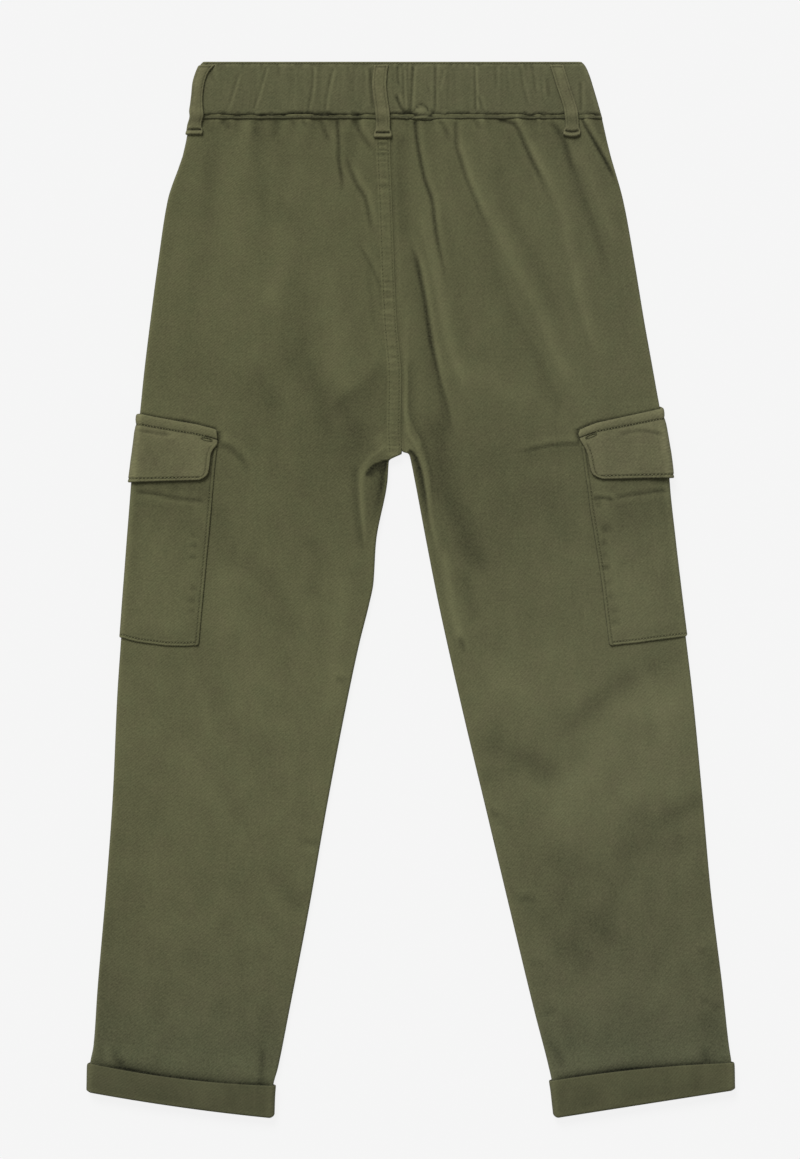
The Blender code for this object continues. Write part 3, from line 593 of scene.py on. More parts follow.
def leg_relief(side, x, level, row, from_seam):
    """Height and painted light of the fine relief at places on the upper face, in millimetres and
    as a
    share of the light: painted shade in troughs, seams and hollows, a painted highlight on ridges.
    `row` is the level of the section, which the hem runs along."""
    sharp, soft = folded(LEG_FOLDS, x, level), folded(SWELLS, x, level)
    below = WAIST_SEAM - level
    # small gathers hang from the waist seam and die out within a few centimetres
    drift = x - 0.16 * side * below
    gathers = (0.36 * ripple(drift, level, 3.6, 22, 11) * bell(below, 9)
               + 0.65 * ripple(drift, level, 9.5, 46, 12) * bell(below, 20))
    # the washed cloth's own swell
    swell = (0.24 * ripple(x, level, 30, 52, 3) + 0.11 * ripple(x, level, 12, 20, 5)
             + 0.04 * ripple(x, level, 5, 8, 6)) * (0.4 + 0.6 * ease(below / CALM))
    # the leg drops away behind the lip of its hem
    over = row - TURN_UPS[side].top
    gap = np.interp(x, *HEM_GAPS[side]) * (0.9 + 0.25 * wander(x, 22, 9))
    drop = gap * (1.1 * bell(over + 0.6, 2.2) + 0.4 * bell(over, 6.5))
    # a line pressed in above the flap's sewn edge, darkened with painted shade, and a painted
    # shadow above it, widest near the middle of the flap
    line, here = flap_line(side, x)
    pressed = bell(level - line - 0.4, 0.75) * here
    painted_bulge_shadow = bell(level - line - 1.4, 1.5) * here * (0.25 + bell(x - FLAP_SHADOW_MIDDLE[side], 11))
    rise, rise_painted_light = rise_relief(side, level, from_seam)
    height = FLATTEN[0] * sharp + FLATTEN[1] * soft + gathers + swell - 0.4 * pressed - drop + rise
    # painted shade and light: the band's shadow on the leg, lightened again right at the band's
    # foot;
    # shade behind the hem's lip and above it, beside the side fold low on the leg, and at and above
    # the flap's sewn edge; colour a little darker below the waist, round the pockets and towards
    # the hems, and paler round the knees
    shade = 0.45 * wander(x, 7, 14)
    painted_band_shadow = (0.10 + 0.16 * shade) * np.exp(-np.clip(below - 3.4, 0, 60) / (2.6 + 1.6 * shade))
    deep = (
        painted_band_shadow - 0.3 * bell(below - 3.8, 0.8)
        + bell(below - 12, 34) * (0.02 + 0.035 * ease((x + 20) / 40))
        + gap * (0.36 * bell(over - 0.1, 1) + 0.26 * bell(over - 1.5, 4.6))
        + 0.09 * ease((-170 - level) / 170) + 0.07 * bell(over, 24)
        + 0.09 * bell(x - section_at(side, row)[2], 9) * ease((-110 - level) / 120)
        + 0.05 * bell(level - 105, 60) - 0.075 * bell(level + 95, 78)
        + 0.36 * pressed + 0.26 * painted_bulge_shadow
    )
    # painted light: folds, gathers and swells are paler on their ridges and darker in their troughs
    tone = PAINTED_LIGHT_PER_MM * (sharp + soft + 0.8 * gathers + 0.5 * swell) + rise_painted_light - deep
    return np.maximum(height, LOWEST), tone


def leg_width(side, y):
    """Distance between the two ends of a section."""
    return np.abs(np.subtract(*section_at(side, y)[2:4]))


def leg_top(side, y, away, turn, out=0):
    """The upper face with its relief, and its painted light and shade."""
    points = leg_surface(side, y, away, turn, out)
    seam = section_at(side, np.maximum(y, TURN_OFF))[3]  # it runs straight on to its foot
    x, level = points[..., 0], points[..., 1]
    height, tone = leg_relief(side, x, level, y + 0 * x, np.abs(seam - x))
    upper = facing(turn) ** 2
    points[..., 2] += height * upper
    return points, tone * upper, height * upper


def unrolled(away, turn, width=1e9):
    """Distance along the cloth from the outermost line of the side fold, up over the back."""
    at_inner = away > width / 2
    return away - FOLD + FOLD * np.where(at_inner, pi - turn, turn)


print("width of the left leg at the hem:", round(float(leg_width(LEFT, np.array(-365))), 1), "mm")

# %% [markdown]
# ## From two grids of points to a wall of cloth
#
# A sheet of paper-thin faces would show its edge as nothing at all. Every piece here is a closed
# wall instead: a grid of points on the outer face, the same grid on the inner face, and a rim of
# faces that joins them. Solidify could make such a wall too, but with both faces worked out
# here the inner one can stay smooth where the outer one has stitches pressed into it. Each point
# also keeps a number for painted light, which the material reads: painted shade in folds, seams
# and hollows, a painted highlight on ridges, and a little of the cloth's own colour.

# %% Helper that makes a wall
PAINTED_HOLLOW_SHADE = 0.75  # painted shade: light taken from the colour for each millimetre that a point lies below the cloth round it
PAINTED_SHADE_AND_TONE_RANGE = (-0.75, 0.4)
HOLLOW_SHADE_PASSES, INSIDE_PASSES = 14, 20  # how often heights are softened for the painted shade in hollows, and inside
made, finish_of = {}, {}  # each sheet's measured width, length and area; each piece's finish


def soften(grid, passes):
    """A grid averaged with its four neighbours, a few times."""
    for _ in range(passes):
        p = np.pad(grid, 1, mode="edge")
        grid = (p[:-2, 1:-1] + p[2:, 1:-1] + p[1:-1, :-2] + p[1:-1, 2:] + 4 * grid) / 8
    return grid


def quads(a, b, c, d):
    """Four arrays of corner numbers, as rows of four."""
    return np.stack([a, b, c, d], axis=-1).reshape(-1, 4)


def place(name, data):
    """A new object in the scene, at the origin."""
    piece = bpy.data.objects.new(name, data)
    bpy.context.scene.collection.objects.link(piece)
    return piece


def smooth_mesh(name, points, faces):
    """A smooth-shaded mesh from points in millimetres."""
    mesh = bpy.data.meshes.new(name)
    mesh.from_pydata((points * MM).tolist(), [], faces)
    mesh.shade_smooth()
    return mesh


def wall(name, side, outer, inner, along_u, along_v, tone=0, closed=False):
    """A closed wall from two grids (rows, columns, 3) in millimetres. Rows run down the garment
    and columns anticlockwise about +Y seen from the waist, which on the right (side > 0) means
    backwards. along_u, along_v: distances on the cloth, which become its UV map in metres."""
    rows, columns, _ = outer.shape
    uv = np.stack(np.broadcast_arrays(along_u, along_v), axis=-1)
    uv, tone = np.broadcast_to(uv, (rows, columns, 2)), np.broadcast_to(tone, (rows, columns))
    order = slice(None, None, -1 if side > 0 else 1)
    outer, inner, uv, tone = (np.array(grid[:, order]) for grid in (outer, inner, uv, tone))
    for grid in (outer, inner):
        grid[..., 2] = np.maximum(grid[..., 2], 0)
    near = np.arange(rows * columns).reshape(rows, columns)
    if closed:
        near = np.concatenate([near, near[:, :1]], axis=1)

    def rim(p, q):
        """Faces from a line of the outer grid to the same line of the inner one."""
        return quads(p, q, q + rows * columns, p + rows * columns)

    corners = near[:-1, :-1], near[1:, :-1], near[1:, 1:], near[:-1, 1:]
    faces = [quads(*corners), quads(*corners[:1], *corners[:0:-1]) + rows * columns,
             rim(near[0, :-1], near[0, 1:]), rim(near[-1, 1:], near[-1, :-1])]
    if not closed:
        faces += [rim(near[1:, 0], near[:-1, 0]), rim(near[:-1, -1], near[1:, -1])]
    faces = np.concatenate(faces)
    points = np.concatenate([outer.reshape(-1, 3), inner.reshape(-1, 3)])
    mesh = smooth_mesh(name, points, faces.tolist())
    uv = np.concatenate([uv.reshape(-1, 2)] * 2)[faces.ravel()] * MM
    mesh.uv_layers.new(name="cloth").data.foreach_set("uv", uv.ravel().astype(np.float32))
    z = outer[..., 2]
    # painted shade: points that lie below the cloth round them are made darker
    tone = np.clip(tone - PAINTED_HOLLOW_SHADE * (soften(z, HOLLOW_SHADE_PASSES) - z), *PAINTED_SHADE_AND_TONE_RANGE).ravel()
    values = mesh.attributes.new("tone", "FLOAT", "POINT").data
    values.foreach_set("value", np.concatenate([tone, 0 * tone]).astype(np.float32))
    across, down = (
        np.linalg.norm(np.diff(outer, axis=axis), axis=-1).sum(axis=axis).max() * MM
        for axis in (1, 0)
    )
    a, b, c, d = outer[:-1, :-1], outer[1:, :-1], outer[1:, 1:], outer[:-1, 1:]
    area = 0.5 * np.linalg.norm(np.cross(c - a, d - b), axis=-1).sum() * MM * MM
    made[name] = (float(across), float(down), float(area))
    print(f"{name}: {2 * len(faces)} triangles, {across * 1000:.0f} x {down * 1000:.0f} mm")
    return place(name, mesh)


def dress(piece, node, slot_name, finish=None):
    """Parents a finished sheet of cloth to the root body, hides the model's node that it stands
    for, and notes its finish, by default the slot's name.
    """
    finish_of[piece.name] = finish or slot_name
    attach(piece, "root")
    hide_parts(node)


# %% [markdown]
# ## The four leg panels
#
# The back panels carry nearly all of the picture, so they get a fine grid: about a millimetre
# across, closer still beside the rise seam where the stitches press in, and rows that are close
# at the hips and wider apart down the plain legs. The front panels lie on the table and keep
# only their form.

# %% Panels
BACK_COLUMNS, FRONT_COLUMNS = 118, 36  # over the flat of a panel
# turns of the columns round a side fold
CORNER = np.arccos(1 - np.array([0.002, 0.15, 0.4, 0.8, 1.2, 1.7, 2.2]) / FOLD)
# distances of the columns beside the rise seam
SEAM_SIDE = (10.9, 10.2, 9.6, 9.1, 8.8, 8.4, 8, 7.4, 6.6, 5.6, 4.6, 3.6, 2.9)


def levels(*runs):
    """Levels of rows: each run is (from, to, spacing) and starts where the last one ended."""
    parts = [np.linspace(a, b, max(1, round(abs(a - b) / s)), endpoint=False) for a, b, s in runs]
    return np.append(np.concatenate(parts), runs[-1][1])


def strips(*parts):
    """Distances and turns of a grid's columns, joined from parts. A part's distances are one
    number, (rows, 1) or (rows, n); its turns are one number or n."""
    rows = max(np.shape(away)[0] for away, _ in parts if np.ndim(away))
    sizes = [max(np.shape(away)[-1] if np.ndim(away) else 1, np.size(turn)) for away, turn in parts]
    away = [np.broadcast_to(away, (rows, n)) for (away, _), n in zip(parts, sizes)]
    turn = [np.broadcast_to(turn, n) for (_, turn), n in zip(parts, sizes)]
    return np.concatenate(away, axis=1), np.concatenate(turn)


def ring_columns(side, y, corner, spread, fixed):
    """Columns of half a ring: a corner, columns spread over the flat, fixed ones beside the
    inner seam, and the other corner."""
    width = leg_width(side, y)[:, None]
    fixed = width - np.array(fixed)
    flat = FOLD + (fixed[:, :1] - FOLD) * np.linspace(0, 1, spread, endpoint=False)
    away, turn = strips((FOLD, corner[:-1]), (flat, pi / 2), (fixed, pi / 2),
                        (width - FOLD, corner[::-1]))
    return away, turn, width


def hem_end(side):
    """Level at which a leg's cloth ends inside its turned-up hem."""
    return TURN_UPS[side].bottom + TURN_UP_WALL + HEM_SLACK


def back_panel(side):
    """One back panel, from the side seam over the back to the rise seam and the inside leg."""
    hem = TURN_UPS[side].top
    y = levels((WAIST_SEAM, 300, 1.1), (300, 132, 1.85), (132, 111, 0.9),
               (111, 101, 1.6), (101, 76, 0.6), (76, 20, 2),
               (20, -60, 2.8), (-60, -318, 5), (-318, hem + 5, 2.4),
               (hem + 5, hem - 1.5, 0.55), (hem - 1.5, hem_end(side), 5))
    away, turn, width = ring_columns(side, y, CORNER, BACK_COLUMNS, SEAM_SIDE)
    level = y[:, None]
    outer, tone, height = leg_top(side, level, away, turn)
    # stitches and small puckers don't show inside: the inner face is calmer
    inner = leg_surface(side, level, away, turn, -WALL)
    inner[..., 2] += np.minimum(soften(height, INSIDE_PASSES), height + 0.45)
    return wall(f"twill_back_{WORD[side]}", side, outer, inner,
                -side * unrolled(away, turn, width), level, tone)


def front_panel(side):
    """One front panel, lying on the table: the same half ring from below, without relief."""
    y = levels((WAIST_SEAM, 150, 10), (150, 101, 4), (101, 90, 0.8),
               (90, -60, 4), (-60, -320, 12), (-320, hem_end(side), 3))
    away, turn, _ = ring_columns(side, y, CORNER[::2], FRONT_COLUMNS, (6,))
    level = y[:, None]
    outer = leg_surface(side, level, away, -turn)
    inner = leg_surface(side, level, away, -turn, -WALL)
    return wall(f"twill_front_{WORD[side]}", -side, outer, inner,
                -side * unrolled(away, -turn), level)


for side in (LEFT, RIGHT):
    word = WORD[side]
    dress(front_panel(side), f"front_{word}_panel", "twill")
    dress(back_panel(side), f"back_{word}_panel", "twill")

# %% [markdown]
# ## The elastic waistband
#
# A casing of twill round a wide elastic. Let go, the elastic shrinks and the casing folds into
# sharp upright creases, uneven in spacing, each with a paler ridge at its side. A close row of
# stitches runs along the top edge. At the foot the band is turned under and sewn down, which
# leaves a thin rolled ridge between two dark lines, and right of the centre the casing has been
# caught in the seam, as a small lump.

# %% Waistband
BAND_FOLDS = read_table(Fold, """
-121.5,368 -126,353 -131,338.5: 1 0.45 0.45 1.7 5 1;
-102,372 -107,354 -111.8,340: 0.9 0.45 0.45 1.6 3 3;
-141,372 -141.5,366 -140,360: 1.6 0.5 0.2 2.4 1 4;
-93,371 -94,362: 1.4 0.35 0.2 2.2 1 4;
-69.2,371 -70,356 -73,339: 1.1 0.55 0.45 1.8 3 2;
-54.3,371 -58.6,356 -61,339: 1.1 0.55 0.5 1.8 3 2;
-44,372 -45,362: 1.4 0.4 0.2 2.2 1 5;
-28.4,371 -28,356 -26.6,340: 1.2 0.7 0.2 -1.9 3 3;
-10.6,352 -8.5,346 -5.5,339.5 -2.5,337.5: 1.2 1.2 0.4 2.6 3 0.5;
-9.2,372 -9,362 -7.6,356: 1 0.7 0.2 1.8 1 4;
-5.6,370 -5,350 -3,339: 0.8 0.35 0.2 1.5 3 3;
-2.4,371 -1.8,352 -1.4,339: 0.8 0.5 0.25 -1.5 3 2;
1.8,372 0.8,356 0.2,338: 1.1 1 0.5 2 2 1;
12,360 14.2,349: 1.2 0.3 0.1 2 4 4;
17.6,372 17.5,356 17.4,339: 1 0.8 0.35 1.8 2 2;
24,370 21.4,362 19.4,352: 1 0.35 0.35 1.7 2 6;
45.3,372 45.8,356 46.2,339: 0.9 0.8 0.55 1.6 2 2;
47.6,352 51.6,338.5: 1.2 0.5 0.3 2 4 1;
60,372 61,352: 1.2 0.3 0.2 2 2 8;
68,372 69.4,350: 1.2 0.35 0.2 2 2 8;
77.5,372 80,356 84,342: 1.1 0.35 0.3 1.9 2 6;
86.5,372 89,350: 1.1 0.35 0.25 1.9 2 6;
96,366 98.5,347: 1.5 0.5 0.3 -2.4 4 6;
120.6,362 120.8,339: 1.2 0.8 0.3 2.2 4 1;
126,366 129.5,350: 1.6 0.35 0.2 2.6 3 6;
""")
BAND_COLUMNS = (330, 60)  # over the back and over the front
BAND_TOP, BAND_STITCHES, BAND_FOOT = 374.9, 373.2, 334
BAND_PROFILE = ((333.8, 334.2, 334.6, 335.1, 335.7, 336.4, 337.5, 339.5, 345, 356, 367,
                 371.8, 373.8, 374.4, 374.75, 374.95),
                (4.75, 5.3, 5.75, 5.95, 5.85, 5.55, 5.75, 5.95, 6.15, 6.3, 6.15,
                 5.8, 5.6, 5.25, 4.7, 3.9))  # levels, heights
GROOVE, ROLL = 336.6, 334.9  # levels of the dark line and of the rolled ridge under it
KNOT = (7.6, 338.4, 3.9, 4.2)  # the caught lump: its middle, and its half sizes
PITS = ((-0.4, 337.6, 2.4, 1.6), (-3.4, 339, 2.2, 0.7), (0.2, 335.2, 1.8, 0.9),
        (16.2, 337.9, 1.9, 1.1), (-73, 338.6, 1.6, 0.5))  # pinches, darkened with painted shade: place, size, depth


def seam_wave(x):
    """How far the line sewn at the band's foot wanders up and down from its level."""
    sag = 1.2 * bell(x - 10, 6) + 0.4 * bell(x - 24, 8)
    return 0.42 * wander(x, 15, 35) + 0.3 * wander(x, 6, 36) - sag


def band_profile(y):
    """Height of the band's face over the table, from its foot to its top edge."""
    return np.interp(y, *BAND_PROFILE)


def band_relief(x, y):
    """Height and painted light of creases, small gathers, the seam's groove and roll, and the lump.
    """
    x, y = np.broadcast_arrays(x, y)
    folds = 0.64 * folded(BAND_FOLDS, x, y)
    within = ease((y - 338.5) / 3) * ease((373 - y) / 3)
    fine = ripple(x, y, 2.4, 30, 31) * (0.05 + 0.16 * (0.35 + 0.65 * bell(x + 10, 40)))
    soft = 0.26 * ripple(x, y, 7.5, 34, 32) + 0.2 * ripple(x, y, 22, 60, 33)
    short = 0.32 * wander(x, 2.2, 34) * bell(y - 372.4, 2.8)
    # the line sewn at the foot: a groove, dimples above it darkened with painted shade, and a roll
    # below
    up = y - seam_wave(x)
    deep = 1.05 + 0.25 * wander(x, 4, 37)
    groove = deep * bell(up - GROOVE, 1.1) * (1 - 0.85 * bell(x - 8.5, 4))
    dimple_with_painted_shade = np.clip(ripple(x, y, 3.4, 3, 38) + 0.3, 0, 1) * bell(up - 337.9, 1.4)
    roll = 0.25 * bell(up - ROLL, 0.6)
    stitches = 0.45 * bell(y - BAND_STITCHES, 0.5)
    cx, cy, rx, ry = KNOT
    reach = np.hypot((x - cx) / rx, (y - cy) / ry)
    ring = 0.75 * bell(reach - 1.3, 0.17) * ease((y - 338) / 2) * ease((y - 334 + x) / 6)
    lump = (0.9 * np.exp(-1.3 * reach**2.4) * ease((y - 336) / 2) - ring
            + 0.7 * bell(np.hypot((x - 10) * 0.3, y - 334.6), 1.7))
    pits = sum(depth * bell(np.hypot(x - px, y - py), size) for px, py, size, depth in PITS)
    height = ((folds + fine + soft) * (0.15 + 0.85 * within) + short * ease((373.2 - y) / 0.8)
              - groove - 0.45 * dimple_with_painted_shade + roll - stitches + lump - pits)
    # painted light: creases and the lump paler on top; painted shade in the groove, the dimples,
    # the pits, the stitch line and on the roll; the foot lightened where the band's shadow falls
    tone = (
        0.26 * folds + 0.22 * fine + 0.2 * short - 0.37 * groove - 0.40 * dimple_with_painted_shade - 0.22 * pits
        + 0.14 * lump - 0.58 * bell(up - ROLL, 0.8) - 0.55 * stitches
        + 0.22 * bell(y - BAND_FOOT, 0.5)
        - 0.25 * bell(up - GROOVE - 0.3, 1.2) * bell(x - 22.5, 6.5)
        - 0.11 * bell(up - 337.6, 2.4) * (0.5 + 0.5 * ease((x + 10) / 30))
    )
    return height, tone


def band_width(y):
    """Width of the flattened band at a level."""
    return curve(BAND_SECTIONS, "right", y) - curve(BAND_SECTIONS, "left", y)


def band_surface(y, away, turn, out=0, relief=False):
    """Points on the waistband's outer face, with its painted light and shade; `away` is measured
    from its left end. Below it is flat; above it follows the band's profile."""
    swing = (BAND_FOLD + out) * np.cos(turn)
    x = curve(BAND_SECTIONS, "left", y) + away + np.where(away > band_width(y) / 2, swing, -swing)
    x, y, turn = np.broadcast_arrays(x, y, turn)
    half = BAND_DEPTH / 2
    top, tone = band_profile(y), 0 * x
    if relief:
        height, tone = band_relief(x, y)
        upper = facing(turn) ** 1.5
        top, tone = top + height * upper, tone * upper
    z = half + (np.where(turn > 0, top - half, half) + out) * np.sin(turn)
    return np.stack([x, y, z], axis=-1), tone


def waistband(above, columns, y):
    """Half of the band, from one side fold to the other."""
    sign = 1 if above else -1
    level, width = y[:, None], band_width(y)[:, None]
    turns = np.radians([2.5, 12, 24, 38, 54, 72, 90])
    flat = BAND_FOLD + (width - 2 * BAND_FOLD) * np.linspace(0, 1, columns)
    away, turn = strips((BAND_FOLD, turns[:-1]), (flat, pi / 2),
                        (width - BAND_FOLD, turns[-2::-1]))
    turn = sign * turn
    if above:  # the sewn foot follows the wandering of its seam
        x = curve(BAND_SECTIONS, "left", level) + away
        level = level + 0.8 * seam_wave(x) * ease((340 - level) / 4)
    outer, tone = band_surface(level, away, turn, relief=above)
    thick = np.where(level > WAIST_SEAM + SEAM, BAND_WALL, 0.5)
    inner, _ = band_surface(level, away, turn, -thick)
    if above:  # the turned-under foot lies on the panels
        low = np.maximum(inner[..., 2], np.sin(turn) * 5)
        inner[..., 2] = np.where(level < WAIST_SEAM + SEAM, low, inner[..., 2])
        inner[..., 2] = np.minimum(inner[..., 2], outer[..., 2] - 0.12)
    u = away + BAND_FOLD * (turn - pi / 2 * sign) * np.where(away > width / 2, -1, 1)
    return wall("casing_" + ("back" if above else "front"), -sign, outer, inner, u, level, tone)


y = levels((BAND_TOP, 374.3, 0.3), (374.3, 372.4, 0.24), (372.4, 369, 0.85),
           (369, 340.9, 1.7), (340.9, 338, 0.7), (338, BAND_FOOT, 0.33))
dress(waistband(True, BAND_COLUMNS[0], y), "waistband_back", "waistband_twill")
y = levels((BAND_TOP - 0.3, WAIST_SEAM + SEAM, 3))
dress(waistband(False, BAND_COLUMNS[1], y), "waistband_front", "waistband_twill")

# %% [markdown]
# ## Cargo pockets and their flaps
#
# A patch pocket wraps round the side of the leg. Its edge is folded under and stitched close
# to the fold, so it is thick and rounded there, with a pressed line inside. The flap is sewn
# on along its top, where the turned seam makes a puffed band above a row of stitches. Below,
# it lies loosely over the pocket and its free edge stands off, which is what throws the dark
# line under it.

# %% Pockets
EDGE_STITCH = 2.4  # distance of a row of stitches from the edge of a pocket or a flap
COLUMN_GAP = 1.35
NEAR_EDGE = np.array([0, 0.1, 0.25, 0.5, 0.85, 1.25, 1.7, 2.05, 2.4, 2.75, 3.2, 3.8, 4.6, 5.6])
# level and reach of a pocket's free edge on the back, from its mouth to its base
POCKET_EDGES = {
    LEFT: ((113, 57.6), (79, 57.4), (63, 57.3), (21, 56.7), (-20, 56), (-40, 55.6)),
    RIGHT: ((118, 60), (100, 59.2), (79, 57.6), (64, 57.3), (47, 56.4), (11, 55.1), (-40, 55)),
}
# how far a pocket's base bows from its straight line, across its width
BASE_BOWS = {LEFT: ((0, 6, 12, 20, 32, 45, 56), (-0.4, -1.8, -2.6, -2.9, -3.2, -2.2, -0.4)),
             RIGHT: ((0, 8, 16, 25, 36, 47, 56), (-1.4, -1.5, -1.3, -1.2, -1.2, -0.7, -0.6))}
POCKET_CORNER = 2.4  # radius of a pocket's lower corner
# painted light by side: shade on the base's rolled edge, shade beside the free edge, and a
# highlight on the base's rim
POCKET_PAINTED_LIGHT = {LEFT: (0.05, 0.06, 0.06), RIGHT: (0, 0.16, 0.10)}
POCKET_FOLDS = read_table(Fold, """
-197,69.5 -184,68.5 -173,66 -163,64.3 -152,63.2 -146,63: 1.5 0.5 0.05 3.2 6 3;
129,64.3 134,64.9 141,64.2 145,62.8: 1.3 0.6 0.2 2.8 2 3;
144,64.6 152,66.4 160,67.8 168,68.8 175,69.9 183,69.8: 1.5 0.5 0.05 3.2 5 4;
""")
# the soft pleats that a row of stitches draws in beside an edge run across it
POCKET_SWELLS = read_table(Swell, """
-158,38.5 -150.5,38.5: 1.6 2.2 -0.5 4 2;
-158,30.4 -150.5,31: 1.4 2 -0.7 4 2;
-159,22 -151,22.5: 1.4 2.2 -0.85 4 2;
-158,0.5 -151,1: 1.6 2.2 -0.5 4 2;
-162,-8.5 -151.5,-8: 1.5 2.2 -0.75 6 2;
-161,-16 -152,-15.5: 1.5 2.4 -0.65 5 2;
-192,61 -156,56: 4 4 -0.3;
146,59 178,63: 4 4 -0.3;
130,60.5 137,61: 2.6 2.6 -0.8 2 4;
134,43 146,43.5: 3.2 3.2 -0.8 3 6;
134,33 141,33: 2.2 2.2 -0.7 3 4;
134,24 142,24: 2.2 2.6 -0.4 3 5;
134.5,15 143.5,15.5: 1.5 2.4 -0.95 3 5;
136,4.5 145,5: 2.4 2.4 -0.5 3 5;
138.5,-5 148,-5: 2.4 3 -0.75 3 6;
140,-15 151,-15: 2.4 2.6 -0.4 3 6;
140.5,-24 151.5,-23: 1.8 2.8 -0.85 3 6;
-176,16 -172,-24: 16 16 0.4;
-196,71 -147,69: 6 6 -0.45;
182,73 127,69: 5 5 -0.3;
-190,50 -158,47: 10 8 -0.35;
138,48 176,54: 10 8 -0.45;
150,4 158,-12 160,-30: 17 17 0.6;
""")


def wrapped(over):
    """Distances and turns of a piece wrapped round the side fold, from FRONT_REACH on the
    front; `over` holds the distances of its columns on the back."""
    under = np.linspace(FRONT_REACH, FOLD, 12)[None, :-1] + 0 * over[:, :1]
    return strips((under, -pi / 2), (FOLD, np.radians(np.linspace(-90, 90, 15))), (over, pi / 2))


def face(level_at, shape_at, side, y, away, turn, off=0):
    """Points on the face of a pocket or a flap, their levels, how far they stand off the leg,
    and their painted light and shade."""
    level, (out, tone) = level_at(side, y, away, turn), shape_at(side, y, away, turn)
    return leg_surface(side, level, away, turn, out + off), level, out, tone


def on_back(turn, away):
    """1 on the back, easing from 0 over the upper half of the side fold."""
    return ease((np.sin(turn) + 0.2) / 1.2) * (turn > -0.2) + 0 * away


def edge_columns(reach):
    """Columns over the back that stand close together beside the free edge."""
    count = round((reach.max() - FOLD - NEAR_EDGE[-1]) / COLUMN_GAP)
    close = reach[:, None] - NEAR_EDGE[::-1]
    share = np.linspace(0, 1, count + 1)[None, 1:-1]
    return np.concatenate([FOLD + (close[:, :1] - FOLD) * share, close], axis=1)


def rolled_edge(distance):
    """Drop of a folded edge: a quarter circle 0.9 mm across, 0 at the edge's inner side."""
    t = np.clip(distance / 0.9, 0, 1)
    return 0.85 * (1 - np.sqrt(1 - (1 - t) ** 2))


def pocket_edge(side, y):
    """Reach of the pocket on the back at levels y, with a rounded lower corner."""
    knots, reaches = np.array(POCKET_EDGES[side]).T
    t = np.clip(1 - (y - POCKETS[side].base) / POCKET_CORNER, 0, 1)
    return smooth(y, knots, reaches) - POCKET_CORNER * (1 - np.sqrt(1 - t * t))


def pocket_level(side, y, away, turn):
    """Levels of a pocket's row y: it slopes over the back, and its base bows."""
    pocket = POCKETS[side]
    slope = np.interp(y, (pocket.base, pocket.mouth), (pocket.base_slope, pocket.mouth_slope))
    bow = np.interp(away, *BASE_BOWS[side]) * ease((30 - (y - pocket.base)) / 30)
    return y + (slope * away + bow) * on_back(turn, away)


def pocket_shape(side, y, away, turn):
    """How far the pocket's face stands off the leg: a soft belly, the rolled edges, and the
    line pressed in by the stitches; and its painted light: shade in the pressed line and on the
    rolled edges, and a highlight on the base's rim."""
    back = turn > 0
    at_base, at_edge, at_rim = POCKET_PAINTED_LIGHT[side]
    from_edge = np.where(back, pocket_edge(side, y) - away, 9)
    from_base = y - POCKETS[side].base
    belly = (0.55 * ease((away - FOLD) / 12) * back * ease(from_edge / 14)
             * ease(from_base / 16))
    inside = (from_edge > EDGE_STITCH) * back
    line = np.maximum(0.5 * bell(from_edge - EDGE_STITCH, 0.5),
                      0.85 * bell(from_base - EDGE_STITCH, 0.5) * inside)
    rim = 0.10 * (bell(from_edge - 1.1, 0.8) + bell(from_base - 1.1, 0.8)) * back
    edge_drop, base_drop = rolled_edge(from_edge), rolled_edge(from_base)
    drop = np.maximum(edge_drop, base_drop)
    ridge = (bell(from_base - 1.2, 0.9) + 0.5 * bell(from_base - 4.2, 1.4)) * inside
    tone = (at_rim * ridge - 0.62 * line - np.where(base_drop > edge_drop, at_base, 0.35) * drop
            - at_edge * bell(from_edge, 1.3))
    return PIECE + belly - 0.35 * line + rim - drop, tone


def painted_flap_shadow(side, level, away):
    """Painted shadow on the pocket right beside the flap's free edge and below its foot, where
    the loose cloth above keeps the light away."""
    foot = FLAP_EDGES[side][-1]
    row = level - foot.slope * away
    reach = curve(FLAP_EDGES[side], "reach", row)
    below = np.exp(-np.clip(foot.y - row, 0, 60) / 4.2) * ease((foot.reach + 4 - away) / 6)
    beside = np.exp(-np.clip(away - reach, 0, 60) / 1.7) * ease((row - foot.y + 2) / 3)
    return np.maximum(0.18 * below * (row < foot.y + 1), 0.34 * beside * (away > reach - 1))


def cargo_pocket(side):
    """The patch pocket, from under its flap to its base."""
    pocket = POCKETS[side]
    y = np.concatenate([levels((pocket.mouth, pocket.base + NEAR_EDGE[-1], 1.7)),
                        pocket.base + NEAR_EDGE[:-1][::-1]])
    away, turn = wrapped(edge_columns(pocket_edge(side, y)))
    outer, level, out, tone = face(pocket_level, pocket_shape, side, y[:, None], away, turn)
    x, flat = outer[..., 0], outer[..., 1]
    creases, soft = folded(POCKET_FOLDS, x, flat), folded(POCKET_SWELLS, x, flat)
    swell = 0.22 * ripple(x, flat, 14, 24, 41 + side) + 0.1 * ripple(x, flat, 6, 9, 44)
    upper = facing(turn)
    outer[..., 2] += (creases + (swell + FLATTEN[1] * soft) * ease(out - 0.6)) * upper
    inner = leg_surface(side, level, away, turn, np.minimum(SEAM, out - 0.1))
    # painted light on the creases and swells, and the flap's painted shadow
    tone = tone + (PAINTED_LIGHT_PER_MM * (creases + soft) + 0.15 * swell - painted_flap_shadow(side, flat, away)) * upper
    return wall(f"pocket_{WORD[side]}", side, outer, inner,
                -side * unrolled(away, turn), level, tone)


for side in (LEFT, RIGHT):
    dress(cargo_pocket(side), f"cargo_pocket_{WORD[side]}", "twill",
          "pocket")

